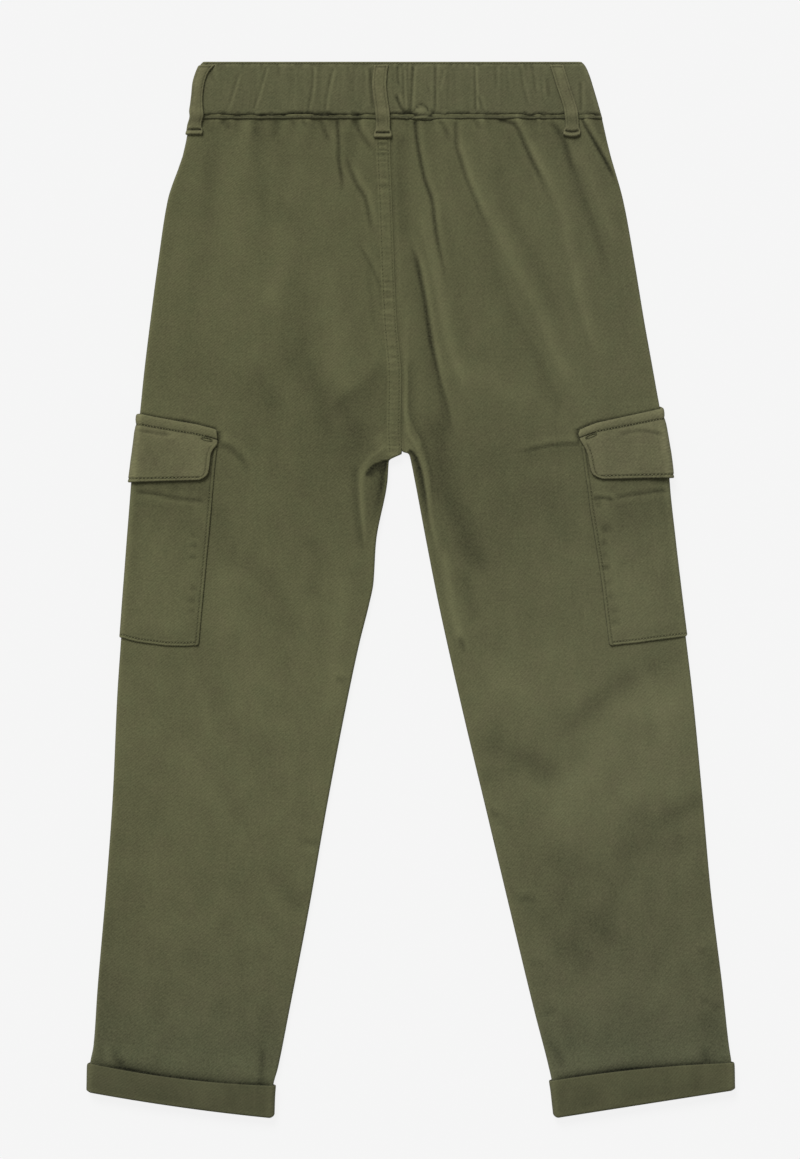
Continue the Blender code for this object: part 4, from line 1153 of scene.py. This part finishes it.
# %% Flaps
FLAP_STITCH = 7.6  # distance of the flap's upper row of stitches from its sewn edge
FLAP_FOLDS = read_table(Fold, """
-195,112.4 -186,111.8 -177,110.4 -168,109.6: 1.4 0.4 0.1 3 3 6;
-175,104 -163,106: 1.6 0.2 0.1 3 5 5;
146,109.4 156,111.6 165,112.4 173,111 181,109.2: 1.3 0.4 0.1 3 6 3;
""")
# how far a flap's outer and inner face stand off the leg on the back, and then on the front, by
# the distance from its sewn edge
FLAP_OVER = ((0, 0.15, 0.5, 1, 2, 4, 6.4, 7.6, 9.5, 13, 24, 38, 49),
             (1.2, 1.9, 2.4, 2.65, 2.8, 2.75, 2.35, 2.1, 2.4, 2.8, 3, 3.3, 3.75))
FLAP_UNDER = ((0, 1, 9, 15, 30, 49), (0.3, 0.6, 0.7, 1.7, 2, 3))
FRONT_OVER = ((0, 0.15, 0.5, 14), (0.75, 1.1, PIECE, 2 * PIECE))
FRONT_UNDER = ((0, 1, 14), (0.1, 0.3, 1.6))
FLAP_FLARE = {LEFT: 0, RIGHT: 0.9}  # at the side fold
FLAP_PUFF = {LEFT: -0.03, RIGHT: 0.05}  # tone of the puffed band
FOOT_STITCH, SIDE_STITCH = 2.6, 2.8  # distances of the lower row and of the row at the free edge


def flap_level(side, y, away, turn):
    """Levels of a flap's row y over the back."""
    rows = FLAP_EDGES[side]
    bow = np.interp(away, *FLAP_BOWS[side]) * ease((26 - (rows[0].y - y)) / 26)
    return y + (curve(rows, "slope", y) * away + bow) * on_back(turn, away)


def flap_shape(side, y, away, turn):
    """How far the flap stands off the leg: a puffed band, a pressed line, then a loose cloth
    whose free edge stands off, and which flares at the side fold; and its colour: painted shade
    in the rows of stitches and on the rolled edges, its own colour on the puffed band, and a
    paler strip inside the free edge."""
    rows = FLAP_EDGES[side]
    from_top, from_foot, back = rows[0].y - y, y - rows[-1].y, turn > 0
    from_edge = np.where(back, curve(rows, "reach", y) - away, 9)
    over = np.interp(from_top, *FLAP_OVER) * np.ones_like(away)
    over = np.where(back, over, np.minimum(over, np.interp(from_top, *FRONT_OVER)))
    upper = np.where(back, 1, np.clip(np.cos(turn), 0, 1))
    flare = FLAP_FLARE[side] * ease((from_top - 12) / 36) * bell(away - FOLD, 12) * upper
    drop = np.maximum(rolled_edge(from_edge), rolled_edge(from_foot))
    lower = ease((from_top - 14) / 3) * ease((from_foot - 2) / 1.5)
    row_foot = bell(from_foot - FOOT_STITCH, 0.6) * ease((from_edge - 3) / 1.5)
    row_side = 0.55 * lower * bell(from_edge - SIDE_STITCH, 0.5)
    lines = back * np.maximum.reduce(
        np.broadcast_arrays(bell(from_top - FLAP_STITCH, 0.6), row_foot, row_side))
    tone_and_painted_light = FLAP_PUFF[side] * bell(from_top - 3, 3) + 0.08 * bell(from_edge - 6, 9)
    return over + flare - 0.4 * lines - drop, back * tone_and_painted_light - 0.66 * lines - 0.25 * drop


def pocket_flap(side):
    """The flap, sewn along its top and free below."""
    top, foot = FLAP_EDGES[side][0].y, FLAP_EDGES[side][-1].y
    drops = np.array([0, 0.08, 0.2, 0.4, 0.7, 1.2, 2, 3, 4.2, 5.4, 6.3, 6.9, 7.25, 7.6,
                      7.95, 8.3, 8.9, 9.8, 10.9])
    y = np.concatenate([top - drops, levels((top - 12, foot + NEAR_EDGE[-1], 1.5)),
                        foot + NEAR_EDGE[:-1][::-1]])
    away, turn = wrapped(edge_columns(curve(FLAP_EDGES[side], "reach", y)))
    from_top = top - y[:, None]
    outer, level, out, tone = face(flap_level, flap_shape, side, y[:, None], away, turn)
    x, flat = outer[..., 0], outer[..., 1]
    sway = (0.24 * ripple(x, flat, 15, 12, 51 + side) + folded(FLAP_FOLDS, x, flat)
            + 0.1 * ripple(x, flat, 5, 9, 53 + side))
    sway = sway * facing(turn) * ease(from_top / 3)
    outer[..., 2] += sway
    under = np.where(turn > 0, np.interp(from_top, *FLAP_UNDER), np.interp(from_top, *FRONT_UNDER))
    inner = leg_surface(side, level, away, turn, np.minimum(under, out - 0.15))
    # the sway is painted paler on its ridges and darker in its hollows
    return wall(f"flap_{WORD[side]}", side, outer, inner,
                -side * unrolled(away, turn), level, tone + 0.2 * sway)


for side in (LEFT, RIGHT):
    dress(pocket_flap(side), f"pocket_flap_{WORD[side]}", "twill",
          "rubbed")

# %% [markdown]
# ## Turned-up hems
#
# The hem is turned up once to the outside, so it shows the duller wrong side of the twill. It
# is a closed band round the leg: pressed and flat, with a soft lip at its upper edge that
# stands a little off the leg, and a rounded lower edge whose corners are rounded too.

# %% Turn-ups
CORNER_ROUND = 1.8  # radius of the hem's lower corners
HEM_COLUMNS = 74  # over the flat of each side


def turn_up(side):
    """The band: a profile of level and distance outwards, carried round the flattened leg."""
    hem = TURN_UPS[side]
    full = SEAM + TURN_UP_WALL
    bow = np.radians(np.linspace(0, 90, 9))
    drop = np.array([0, 0.1, 0.3, 0.6, 1.1, 2, 3.4, 5.2, 7.4, 9.8, 12.2, 14.6, 16.8, 18.4])
    lip = np.array([1.4, 1.75, 2, 2.15, 2.2, 2.2, 2.2, 2.15, 2.1, 2.05, 2, 1.95, 1.92, 1.9])
    y = np.concatenate([hem.top - drop, hem.bottom + full * (1 - np.sin(bow))])[:, None]
    out = np.concatenate([lip, full * np.cos(bow)])[:, None]
    under = np.concatenate([lip - np.interp(drop, (0, 1, 8, 18), (0.35, 0.9, 1.5, 1.5)),
                            np.interp(bow, (0, 0.8, pi / 2), (0.4, 0.3, -WALL))])[:, None]
    width = leg_width(side, y)
    over = FOLD + (width - 2 * FOLD) * np.linspace(0, 1, HEM_COLUMNS)[None, 1:-1]
    fold = np.radians(np.linspace(-90, 90, 13))
    away, turn = strips((FOLD, fold), (over, pi / 2), (width - FOLD, fold[::-1]),
                        (over[:, ::-1], -pi / 2))
    # below, the band lies on the table, so its lip stays within the pile there
    out = np.where(turn > 0, out, np.minimum(out, full))
    under = np.where(turn > 0, under, np.minimum(under, out - 0.3))
    # the lower corners are rounded: the band's end rises as a quarter circle
    reach = np.where(away > width / 2, width - away, away)
    beyond = reach - FOLD * np.cos(turn) * (reach <= FOLD + 1e-6)
    t = np.clip(1 - beyond / CORNER_ROUND, 0, 1)
    low = np.clip(1 - (y - hem.bottom) / 9, 0, 1)
    level = y + CORNER_ROUND * (1 - np.sqrt(1 - 0.85 * t * t)) * low
    outer = leg_surface(side, level, away, turn, out)
    inner = leg_surface(side, level, away, turn, under)
    x, flat = outer[..., 0], outer[..., 1]
    wave = (0.3 * ripple(x, flat, 21, 30, 61 + side)
            + 0.12 * ripple(x, flat, 7, 12, 63 + side))
    wave = wave * facing(turn) * ease((y - hem.bottom) / 5)
    outer[..., 2] += wave
    inner[..., 2] += wave
    # painted light: the waves paler on top and darker in their hollows, painted shade along the
    # hem's top edge; and the right hem a little paler
    tone = 0.2 * wave - 0.10 * bell(hem.top - y, 1.4) + (0.045 if side == RIGHT else 0.01)
    return wall(f"hem_{WORD[side]}", side, outer, inner, -side * unrolled(away, turn, width), y,
                tone, closed=True)


for side in (LEFT, RIGHT):
    dress(turn_up(side), f"turn_up_{WORD[side]}", "turn_up_twill")

# %% [markdown]
# ## Belt loops
#
# Narrow strips folded to their middle, with a line of stitches along each edge. They are rubbed
# paler than the rest, because they stand proud. The foot is turned under and held by a bar of
# close stitches, so it is a little wider than the loop and ends in a rolled lip. None of them is
# quite straight: the gathers pull them about.

# %% Belt loops
Loop = namedtuple("Loop", "name levels middles width foot sag")
LOOPS = (
    Loop("centre", (372.2, 365, 358, 349, 339, 332, 320.8),
         (-20.8, -21.8, -22.2, -21.4, -20, -19.6, -19.7), 10.4, 320.8, 0.3),
    Loop("right", (372.2, 367, 356, 346, 339, 330, 322.6),
         (103.6, 105.2, 108.6, 112, 113.8, 114.7, 114.4), 9.8, 322.6, 1.5),
)
FOLD_LOOP = (322.8, (372.2, 369.5, 366, 360, 352, 345, 337, 328, 322.8),
             (10.6, 9.4, 8, 7.2, 7.1, 7.6, 8.8, 9.6, 10))  # foot, levels, reach on the back
BAND_FLAT = 340  # above this level a loop lies on the flat of the band
# heights of a loop's lowest rows over its foot
LOOP_ROWS = np.array([0, 0.15, 0.4, 0.8, 1.3, 1.9, 2.4, 2.8, 3.2, 3.6, 4, 4.6, 5.4, 6.4, 7.6])
# distances of a loop's columns from its middle, as shares of half its width
HALF = np.array([0.18, 0.36, 0.48, 0.56, 0.62, 0.68, 0.74, 0.82, 0.9, 0.95, 0.985, 1])
ACROSS = np.concatenate([-HALF[::-1], [0], HALF])


def loop_rows(foot):
    """Levels down a belt loop, close together at its head and its foot."""
    head = LOOP_TOP - np.array([0, 0.3, 0.7, 1.2, 1.7, 2.2, 3, 4])
    return np.concatenate([head, levels((LOOP_TOP - 5.2, foot + LOOP_ROWS[-1] + 1.4, 1.3)),
                           foot + LOOP_ROWS[::-1]])


def loop_relief(s, y, foot, seed):
    """Height and painted light of a loop: rounded long edges, two stitched lines, soft dents, and
    at the foot a rolled lip with a pressed slot above it. The belly, dents and lip get painted
    highlights; the lines, the slot, the bar and the edges painted shade. s runs from -1 to 1
    across."""
    up = y - foot
    edge = 0.9 * (1 - np.sqrt(np.clip(1 - np.clip((np.abs(s) - 0.84) / 0.16, 0, 1) ** 2, 0, 1)))
    lines = 0.24 * bell(np.abs(s) - 0.64, 0.08) * ease((up - 6) / 2)
    lip = 0.40 * bell(up - 1.3, 1)
    end = rolled_edge(up * 0.8)
    slot = 0.9 * bell(up - 3.6, 0.75) * ease((0.88 - np.abs(s)) / 0.16)
    start = rolled_edge((LOOP_TOP - y) * 0.9)
    bar = 0.4 * bell(LOOP_TOP - y - 1.6, 0.7) * ease((0.8 - np.abs(s)) / 0.2)
    dents = 0.28 * ripple(5 * s, y, 4.5, 9, seed) + 0.3 * bell(y - 339.5, 2.6)
    belly = 0.35 * (1 - s * s) * ease(up / 9)
    height = lip + belly + dents * ease((up - 6) / 4) - edge - lines - end - slot - start - bar
    tone = 0.10 * belly - 0.45 * (lines + slot + bar) + 0.2 * dents - 0.2 * edge + 0.1 * lip
    return height, tone


def under_loop(y):
    """Height of what a straight loop lies on: the band, then the leg, blended over the seam."""
    leg = curve(SECTIONS[LEFT], "depth", y)
    return leg + (band_profile(np.maximum(y, BAND_FLAT)) - leg) * over_band(y)


def over_band(y):
    """1 where a loop lies on the band, easing to 0 where it lies on the leg."""
    return ease((y - 331) / 6.5)


def foot_spread(y, foot):
    """A loop's turned-under foot is wider than the loop by a millimetre on each side."""
    return 1.2 * ease((6 - (y - foot)) / 3)


def belt_loop(loop):
    """A straight loop over the waistband."""
    y = loop_rows(loop.foot)[:, None]
    middle = smooth(y, loop.levels, loop.middles)
    x = middle + (0.5 * loop.width + foot_spread(y, loop.foot)) * ACROSS
    level = y - loop.sag * (1 - ACROSS**2) * ease((14 - (y - loop.foot)) / 12) + 0 * x
    height, tone = loop_relief(ACROSS, y, loop.foot, 81 + len(loop.name))
    z = under_loop(y) + SEAM + LOOP_WALL + 0.25
    outer = np.stack([x, level, z + height], axis=-1)
    inner = np.stack([x, level, np.minimum(z - LOOP_WALL, outer[..., 2] - 0.1)], axis=-1)
    return wall(f"loop_{loop.name}", LEFT, outer, inner, x, level, tone)


def fold_loop():
    """The loop on the left side fold, bent over the edge of the band and the hip."""
    foot, knots, reaches = FOLD_LOOP
    y = loop_rows(foot)[:, None]
    start = FOLD * 0.42
    reach = smooth(y, knots, reaches)
    span = FOLD * pi / 2 - start + reach - FOLD + foot_spread(y, foot)
    s = start + span * 0.5 * (ACROSS + 1)
    turn = np.clip(s / FOLD, 0, pi / 2)
    away = np.maximum(s - FOLD * pi / 2, 0)
    height, tone = loop_relief(ACROSS, y, foot, 88)

    def at(out):
        """Points moved out from the edge of the band and of the hip."""
        on_band, _ = band_surface(np.maximum(y, BAND_FLAT), BAND_FOLD + away, turn, out)
        on_leg = leg_surface(LEFT, y, FOLD + away, turn, out)
        points = on_leg + (on_band - on_leg) * over_band(y)[..., None]
        points[..., 1] = y + 0 * away
        return points

    outer = at(SEAM + LOOP_WALL + 0.2 + height)
    inner = at(np.minimum(SEAM, SEAM + LOOP_WALL + height - 0.1))
    return wall("loop_left", LEFT, outer, inner, s, y, tone)


for loop in LOOPS:
    dress(belt_loop(loop), f"belt_loop_{loop.name}", "waistband_twill", "rubbed")
dress(fold_loop(), "belt_loop_left", "waistband_twill", "rubbed")

# %% [markdown]
# ## Stitches
#
# The thread is dyed with the garment, so a row of stitches reads as small dark gaps between
# short, slightly raised threads in a pressed line. The pressed lines are already in the cloth,
# darkened there with painted shade.
# The threads are tiny tapered rolls, all of one row kind in one mesh, laid along a line on the
# same surface as the cloth.

# %% Stitches
THREAD_SIDES = 6
THREAD_TURNS = np.linspace(0, 2 * pi, THREAD_SIDES, endpoint=False)
THREAD_RINGS = np.array([(-0.86, 0.6, -0.35), (-0.45, 0.95, 0), (0, 1, 0.1),
                         (0.45, 0.95, 0), (0.86, 0.6, -0.35)])  # along, radius, height


def thread_template():
    """Points of one thread, of unit length and radius: its rings and a point at each end; and
    its faces."""
    along, radius, height = THREAD_RINGS.T[:, :, None]
    ring = np.stack([along + 0 * THREAD_TURNS, radius * np.cos(THREAD_TURNS),
                     height + radius * np.sin(THREAD_TURNS)], axis=-1).reshape(-1, 3)
    points = np.concatenate([ring, [(-1, 0, -0.7), (1, 0, -0.7)]])
    k = np.arange(THREAD_SIDES)
    n = (k + 1) % THREAD_SIDES
    last = len(ring) - THREAD_SIDES
    sides = [quads(r + k, r + n, r + THREAD_SIDES + n, r + THREAD_SIDES + k)
             for r in range(0, last, THREAD_SIDES)]
    caps = [np.stack([n, k, 0 * k + len(ring)], -1),
            np.stack([last + k, last + n, 0 * k + len(ring) + 1], -1)]
    return points, np.concatenate(sides), np.concatenate(caps)


def unit(vectors):
    """Vectors of length 1."""
    return vectors / (np.linalg.norm(vectors, axis=-1, keepdims=True) + 1e-9)


def threads(name, rows, finish="thread"):
    """One mesh of threads. Each row: points and outward directions along a line, the pitch, and
    the half length, half width and half height of a thread, in millimetres."""
    template, sides, caps = thread_template()
    points = []
    for line, up, pitch, size in rows:
        step = np.linalg.norm(np.diff(line, axis=0), axis=1)
        run = np.concatenate([[0], np.cumsum(step)])
        count = max(1, int(run[-1] / pitch))
        at = (np.arange(count) + 0.5) * run[-1] / count
        at = at + 0.12 * (hashed(np.arange(count), len(points), 71) - 0.5) * pitch
        centre, tip, normal = (
            np.stack([np.interp(a, run, v[:, i]) for i in range(3)], axis=-1)
            for a, v in ((at, line), (at + 0.3, line), (at, up))
        )
        ahead = unit(tip - centre)
        beside = unit(np.cross(normal, ahead))
        axes = np.stack([ahead, beside, np.cross(ahead, beside)], axis=1)
        points.append((centre[:, None] + template * size @ axes).reshape(-1, 3))
    points = np.concatenate(points)
    count = len(points) // len(template)
    shift = np.arange(count)[:, None, None] * len(template)
    faces = [(part + shift).reshape(-1, part.shape[1]).tolist() for part in (sides, caps)]
    piece = place(name, smooth_mesh(name, points, faces[0] + faces[1]))
    finish_of[name] = finish
    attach(piece, "root")
    print(f"{name}: {count} stitches")


def on_surface(surface, y, away, turn, out):
    """A line on a surface and its outward directions, from two copies a little apart."""
    y, away, turn = np.broadcast_arrays(y, away, turn)
    line, above = surface(y, away, turn, out), surface(y, away, turn, out + 0.2)
    return line, unit(above - line)


def around(end):
    """Distances and turns along a row that starts on the side fold and runs over the back."""
    s = np.linspace(FOLD * 0.3, end, 160)
    return FOLD + np.maximum(s - FOLD * pi / 2, 0), np.clip(s / FOLD, 0, pi / 2)


# half length, half width and half height of a thread, by the kind of row
TOPSTITCH, WAIST_THREAD = (0.62, 0.34, 0.28), (0.62, 0.34, 0.32)
BOLD, FLAP_TOP, FLAP_FOOT = (0.62, 0.6, 0.36), (0.62, 0.62, 0.38), (0.85, 0.5, 0.34)
BAR_THREAD = (0.62, 0.4, 0.3)
UP = np.array([0, 0, 1])

rise_rows = []
for from_seam, foot in zip(RISE_ROWS, (100, 97)):
    y = np.linspace(RISE_LEVELS[0] - 13, foot, 260)
    # beside the seam the columns of the section are told by their turn
    turn = np.arccos(1 - from_seam / FOLD) if from_seam < FOLD else pi / 2
    away = leg_width(LEFT, y) - max(from_seam, FOLD * (from_seam < FOLD))
    line, _, _ = leg_top(LEFT, y, away, np.full(len(y), turn))
    line[:, 2] += 0.16
    rise_rows.append((line, np.broadcast_to(UP, line.shape), 2.5, TOPSTITCH))
threads("thread_rise", rise_rows)

pocket_rows, flap_rows = [], []
for side in (LEFT, RIGHT):

    def pocket_at(y, away, turn, off):
        """A place on this side's pocket."""
        return face(pocket_level, pocket_shape, side, y, away, turn, off)[0]

    def flap_at(y, away, turn, off):
        """A place on this side's flap."""
        return face(flap_level, flap_shape, side, y, away, turn, off)[0]

    top, foot, base = FLAP_EDGES[side][0].y, FLAP_EDGES[side][-1].y, POCKETS[side].base
    y = np.linspace(foot + 2, base + EDGE_STITCH + 1, 160)
    away = pocket_edge(side, y) - EDGE_STITCH
    pocket_rows.append((*on_surface(pocket_at, y, away, pi / 2, 0.12), 2.5, TOPSTITCH))
    away, turn = around(float(pocket_edge(side, base + 2)) - EDGE_STITCH)
    pocket_rows.append((*on_surface(pocket_at, base + EDGE_STITCH, away, turn, 0.12), 2.15, BOLD))
    for level, end, pitch, size in ((top - FLAP_STITCH, 50, 2.1, FLAP_TOP),
                                    (foot + FOOT_STITCH, 46.5, 2.6, FLAP_FOOT)):
        flap_rows.append((*on_surface(flap_at, level, *around(end), 0.14), pitch, size))
    y = np.linspace(top - 20, foot + 5.5, 120)
    away = curve(FLAP_EDGES[side], "reach", y) - SIDE_STITCH
    flap_rows.append((*on_surface(flap_at, y, away, pi / 2, 0.14), 2.6, TOPSTITCH))
threads("thread_pockets", pocket_rows)
threads("thread_flaps", flap_rows)


def band_at(y, away, turn, off):
    """A place on the finished band."""
    return band_surface(y, away, turn, off, relief=True)[0]


away = np.linspace(BAND_FOLD, float(band_width(np.array(BAND_STITCHES))) - BAND_FOLD, 900)
line, up = on_surface(band_at, BAND_STITCHES, away, pi / 2, 0.12)
threads("thread_waist", [(line, up, 2.1, WAIST_THREAD)])

# bars of close stitches at the flaps' inner ends: an oval ring of thread, a little aslant,
# whose darker thread is painted shade among the close stitches
bars = []
for side, tilt, off in ((LEFT, -0.20, 0.0886), (RIGHT, 0.36, 0.1)):
    y = np.array(FLAP_EDGES[side][0].y - 9.6)
    away = curve(FLAP_EDGES[side], "reach", y) - 8
    x, level, z = face(flap_level, flap_shape, side, y, away, pi / 2, off)[0]
    a = np.linspace(0, 2 * pi, 40)
    across, along = 3.9 * np.cos(a), 1 * np.sin(a)
    ring = np.stack([x + across, level + along + tilt * across, z + 0.15 + 0 * a], axis=-1)
    bars.append((ring, np.broadcast_to(UP, ring.shape), 1.1, BAR_THREAD))
threads("thread_bars", bars, finish="bar thread, painted shade")

# %% [markdown]
# ## The cloth's finish
#
# Cotton twill shows fine diagonal ribs, and its yarns are never quite even, which gives a dry
# speckle up close. Dyed as a finished garment it also takes the colour unevenly, in faint clouds
# of warmer and cooler green. On top of that each piece's colour carries painted light: a painted
# highlight on ridges and painted shade in seams, folds and hollows. The weave follows the cloth
# and not the room, so it reads the UV map in metres. All of that is one node group, used with its
# own values for the legs, the rubbed flaps and loops, the waistband and the dull wrong side that
# the hems show.

# %% Node group of the twill
def settle(node, values):
    """Values for a node's inputs: each is a number or the socket of another node."""
    for socket, value in dict(values).items():
        if isinstance(value, bpy.types.NodeSocket):
            node.id_data.links.new(value, node.inputs[socket])
        else:
            node.inputs[socket].default_value = value


def add(tree, kind, values=(), **settings):
    """One shader node with its settings and the values of its inputs."""
    node = tree.nodes.new("ShaderNode" + kind)
    for name, value in settings.items():
        setattr(node, name, value)
    settle(node, values)
    return node


def sums(tree, operation, a, b=0, c=0):
    """One step of arithmetic; its result's socket."""
    return add(tree, "Math", {0: a, 1: b, 2: c}, operation=operation).outputs[0]


def twill_group():
    """Colour and height of garment-dyed twill."""
    group = bpy.data.node_groups.new("garment-dyed twill", "ShaderNodeTree")
    for name, kind, value in (
        ("Colour", "Color", (0.1, 0.1, 0.05, 1)), ("Ribs per metre", "Float", 560),
        ("Grain", "Float", 0.15), ("Clouding", "Float", 0.30), ("Cooling", "Float", 1),
    ):
        socket = group.interface.new_socket(name, in_out="INPUT", socket_type="NodeSocket" + kind)
        socket.default_value = value
    for name, kind in (("Colour", "Color"), ("Height", "Float")):
        group.interface.new_socket(name, in_out="OUTPUT", socket_type="NodeSocket" + kind)
    given = group.nodes.new("NodeGroupInput").outputs
    uv = add(group, "UVMap", uv_map="cloth").outputs["UV"]
    spot = add(group, "TexCoord").outputs["Object"]
    # the painted light and shade of each piece, kept in its attribute
    tone_and_painted_light = add(group, "Attribute", attribute_name="tone").outputs["Fac"]

    def noise(vector, scale, detail=2, rough=0.5):
        """Noise around zero."""
        values = {"Vector": vector, "Scale": scale, "Detail": detail, "Roughness": rough}
        return sums(group, "SUBTRACT", add(group, "TexNoise", values).outputs["Fac"], 0.5)

    def total(*parts):
        """Sum of sockets, each times its share."""
        value = 0
        for socket, share in parts:
            value = sums(group, "MULTIPLY_ADD", socket, share, value)
        return value

    def ramp(value, start, end, low, high):
        """From low to high while a value goes from start to end."""
        values = {"Value": value, "From Min": start, "From Max": end, "To Min": low, "To Max": high}
        return add(group, "MapRange", values).outputs["Result"]

    # ribs: a sine across the diagonal, bent a little by noise
    split = add(group, "SeparateXYZ", {0: uv}).outputs
    diagonal = total((split["Y"], 0.72), (split["X"], -0.69), (noise(uv, 90), 0.0022))
    phase = sums(group, "MULTIPLY", diagonal, given["Ribs per metre"])
    rib = sums(group, "SINE", sums(group, "MULTIPLY", phase, 2 * pi))
    yarn = noise(uv, 1150, 1)
    slub = noise(uv, 560, 2, 0.6)
    height = total((yarn, 1.4), (rib, 0.25), (slub, 0.8))

    # brightness: 1 plus what each effect adds or takes, from the cloth's grain and clouds and from
    # the painted light and shade of the attribute
    stretched = add(group, "VectorMath", {0: spot, 1: (120, 40, 60)},
                    operation="MULTIPLY").outputs[0]
    grain = total((rib, 0.10), (slub, 3.2), (yarn, 1.6))
    clouds = total((noise(spot, 70, 4, 0.62), 0.75), (noise(stretched, 1, 2), 0.55),
                   (noise(spot, 9, 2), 0.3))
    tone = total((grain, given["Grain"]), (clouds, given["Clouding"]), (tone_and_painted_light, 1))
    tone = sums(group, "MAXIMUM", sums(group, "ADD", tone, 1), 0.12)

    # hue: warmer and cooler clouds; a little cooler and less red towards the hems, and cooler over
    # the right half as painted light, the colour of a cooler light on that side
    hue = ramp(noise(spot, 80, 3, 0.6), -0.2, 0.2, 0.493, 0.507)
    tinted = add(group, "HueSaturation", {"Hue": hue, "Color": given["Colour"]})
    at = add(group, "SeparateXYZ", {0: spot}).outputs

    def cooler(axis, start, end, most):
        """A share that comes up along an axis, in metres, times the group's Cooling."""
        return sums(group, "MULTIPLY", ramp(at[axis], start, end, 0, most), given["Cooling"])

    # the ramp along X is painted light: a cooler tint over the right half
    bluer = total((cooler("Y", 0.10, -0.23, 0.035), 1), (cooler("Y", -0.23, -0.33, 0.055), 1),
                  (cooler("X", -0.02, 0.15, 0.05), 1))
    blue = sums(group, "MULTIPLY_ADD", bluer, tone, tone)
    red = sums(group, "MULTIPLY_ADD", cooler("Y", -0.29, -0.33, -0.035), tone, tone)
    tones = add(group, "CombineColor", {0: red, 1: tone, 2: blue}).outputs[0]
    result = add(group, "Mix", {"Factor": 1, "A": tinted.outputs["Color"], "B": tones},
                 data_type="RGBA", blend_type="MULTIPLY")
    settle(group.nodes.new("NodeGroupOutput"),
           {"Colour": result.outputs["Result"], "Height": height})
    return group


TWILL_GROUP = twill_group()


def principled(name, values):
    """A material, its node tree and its shader, which gets these values."""
    material = bpy.data.materials.new(name)
    material.use_nodes = True
    shader = material.node_tree.nodes["Principled BSDF"]
    settle(shader, values)
    return material, material.node_tree, shader


def cloth_material(name, colour, clouding=0.30, grain=0.22, bump=0.45, cooling=1):
    """A matt cotton with a short nap: the group's colour and height in a Principled shader."""
    material, tree, shader = principled(name, {
        "Roughness": 0.95, "Specular IOR Level": 0.10, "Sheen Weight": 0.03,
        "Sheen Roughness": 0.6,
    })
    cloth = add(tree, "Group", node_tree=TWILL_GROUP)
    settle(cloth, {"Colour": (*colour, 1), "Grain": grain, "Clouding": clouding,
                   "Cooling": cooling})
    relief = add(tree, "Bump", {"Strength": bump, "Distance": 0.00022,
                                "Height": cloth.outputs["Height"]})
    settle(shader, {"Base Color": cloth.outputs["Colour"], "Normal": relief.outputs["Normal"]})
    return material


OLIVE = np.array((0.1055, 0.1051, 0.0506))
WRONG_SIDE = (0.0757, 0.0757, 0.0388)
RUBBED = np.array((1.13, 1.10, 1.145))  # flaps and loops stand proud and are worn paler
finishes = {
    "twill": cloth_material("olive twill", OLIVE),
    "pocket": cloth_material("olive twill, doubled", OLIVE * 1.02),
    "rubbed": cloth_material("olive twill, rubbed", OLIVE * RUBBED),
    "waistband_twill": cloth_material("olive twill, gathered", OLIVE * (1, 1, 1.04), 0.36),
    "turn_up_twill": cloth_material("olive twill, wrong side", WRONG_SIDE, 0.26, 0.17,
                                    cooling=0),
    "thread": cloth_material("dyed cotton thread", OLIVE * 1.12, 0.2, bump=0),
    # painted shade: the bars' thread is darker than the rest, for the shade among close stitches
    "bar thread, painted shade": cloth_material("dyed cotton thread, bars", OLIVE * 0.7, 0.2, bump=0),
}
for name, kind in finish_of.items():
    bpy.data.objects[name].data.materials.append(finishes[kind])
print("finishes:", ", ".join(finishes))

# %% [markdown]
# ## Table, light and camera
#
# A pale table, one wide soft light that comes low over the waist and a little from the left, and
# an even fill from all round. The table glows faintly, so that it stays pale and the shadow on
# it faint. The camera hangs straight above with a long lens, so that the legs keep their true
# proportions.

# %% Stage
FRAME_HEIGHT = 0.8229  # metres of the table that the picture's long side takes in
LENS, SENSOR = 90, 36
CENTRE = Vector((-0.0075, 0.0071, 0.005))

WHITE = (1, 1, 1, 1)

table_mesh = bpy.data.meshes.new("table")
table_mesh.from_pydata([(-4, -4, 0), (4, -4, 0), (4, 4, 0), (-4, 4, 0)], [], [(0, 1, 2, 3)])
table = place("table", table_mesh)
table.location.z = -0.0002
paper, _, _ = principled("pale table", {
    "Base Color": (0.06, 0.06, 0.06, 1), "Roughness": 1, "Specular IOR Level": 0,
    "Emission Color": WHITE, "Emission Strength": 0.858,
})
table_mesh.materials.append(paper)

scene = bpy.context.scene
scene.world = bpy.data.worlds.new("studio")
scene.world.use_nodes = True
settle(scene.world.node_tree.nodes["Background"], {"Color": WHITE, "Strength": 0.34})

sun_data = bpy.data.lights.new("soft window", "SUN")
sun_data.energy, sun_data.angle = 3, 0.5
sun = place("soft window", sun_data)
sun.rotation_euler = Vector((0.28, -0.80, -0.72)).to_track_quat("-Z", "Y").to_euler()

camera_data = bpy.data.cameras.new("camera")
camera_data.lens, camera_data.sensor_width = LENS, SENSOR
scene.camera = place("camera", camera_data)
scene.camera.location = CENTRE + Vector((0, 0, FRAME_HEIGHT * LENS / SENSOR))
scene.view_settings.view_transform = "Standard"
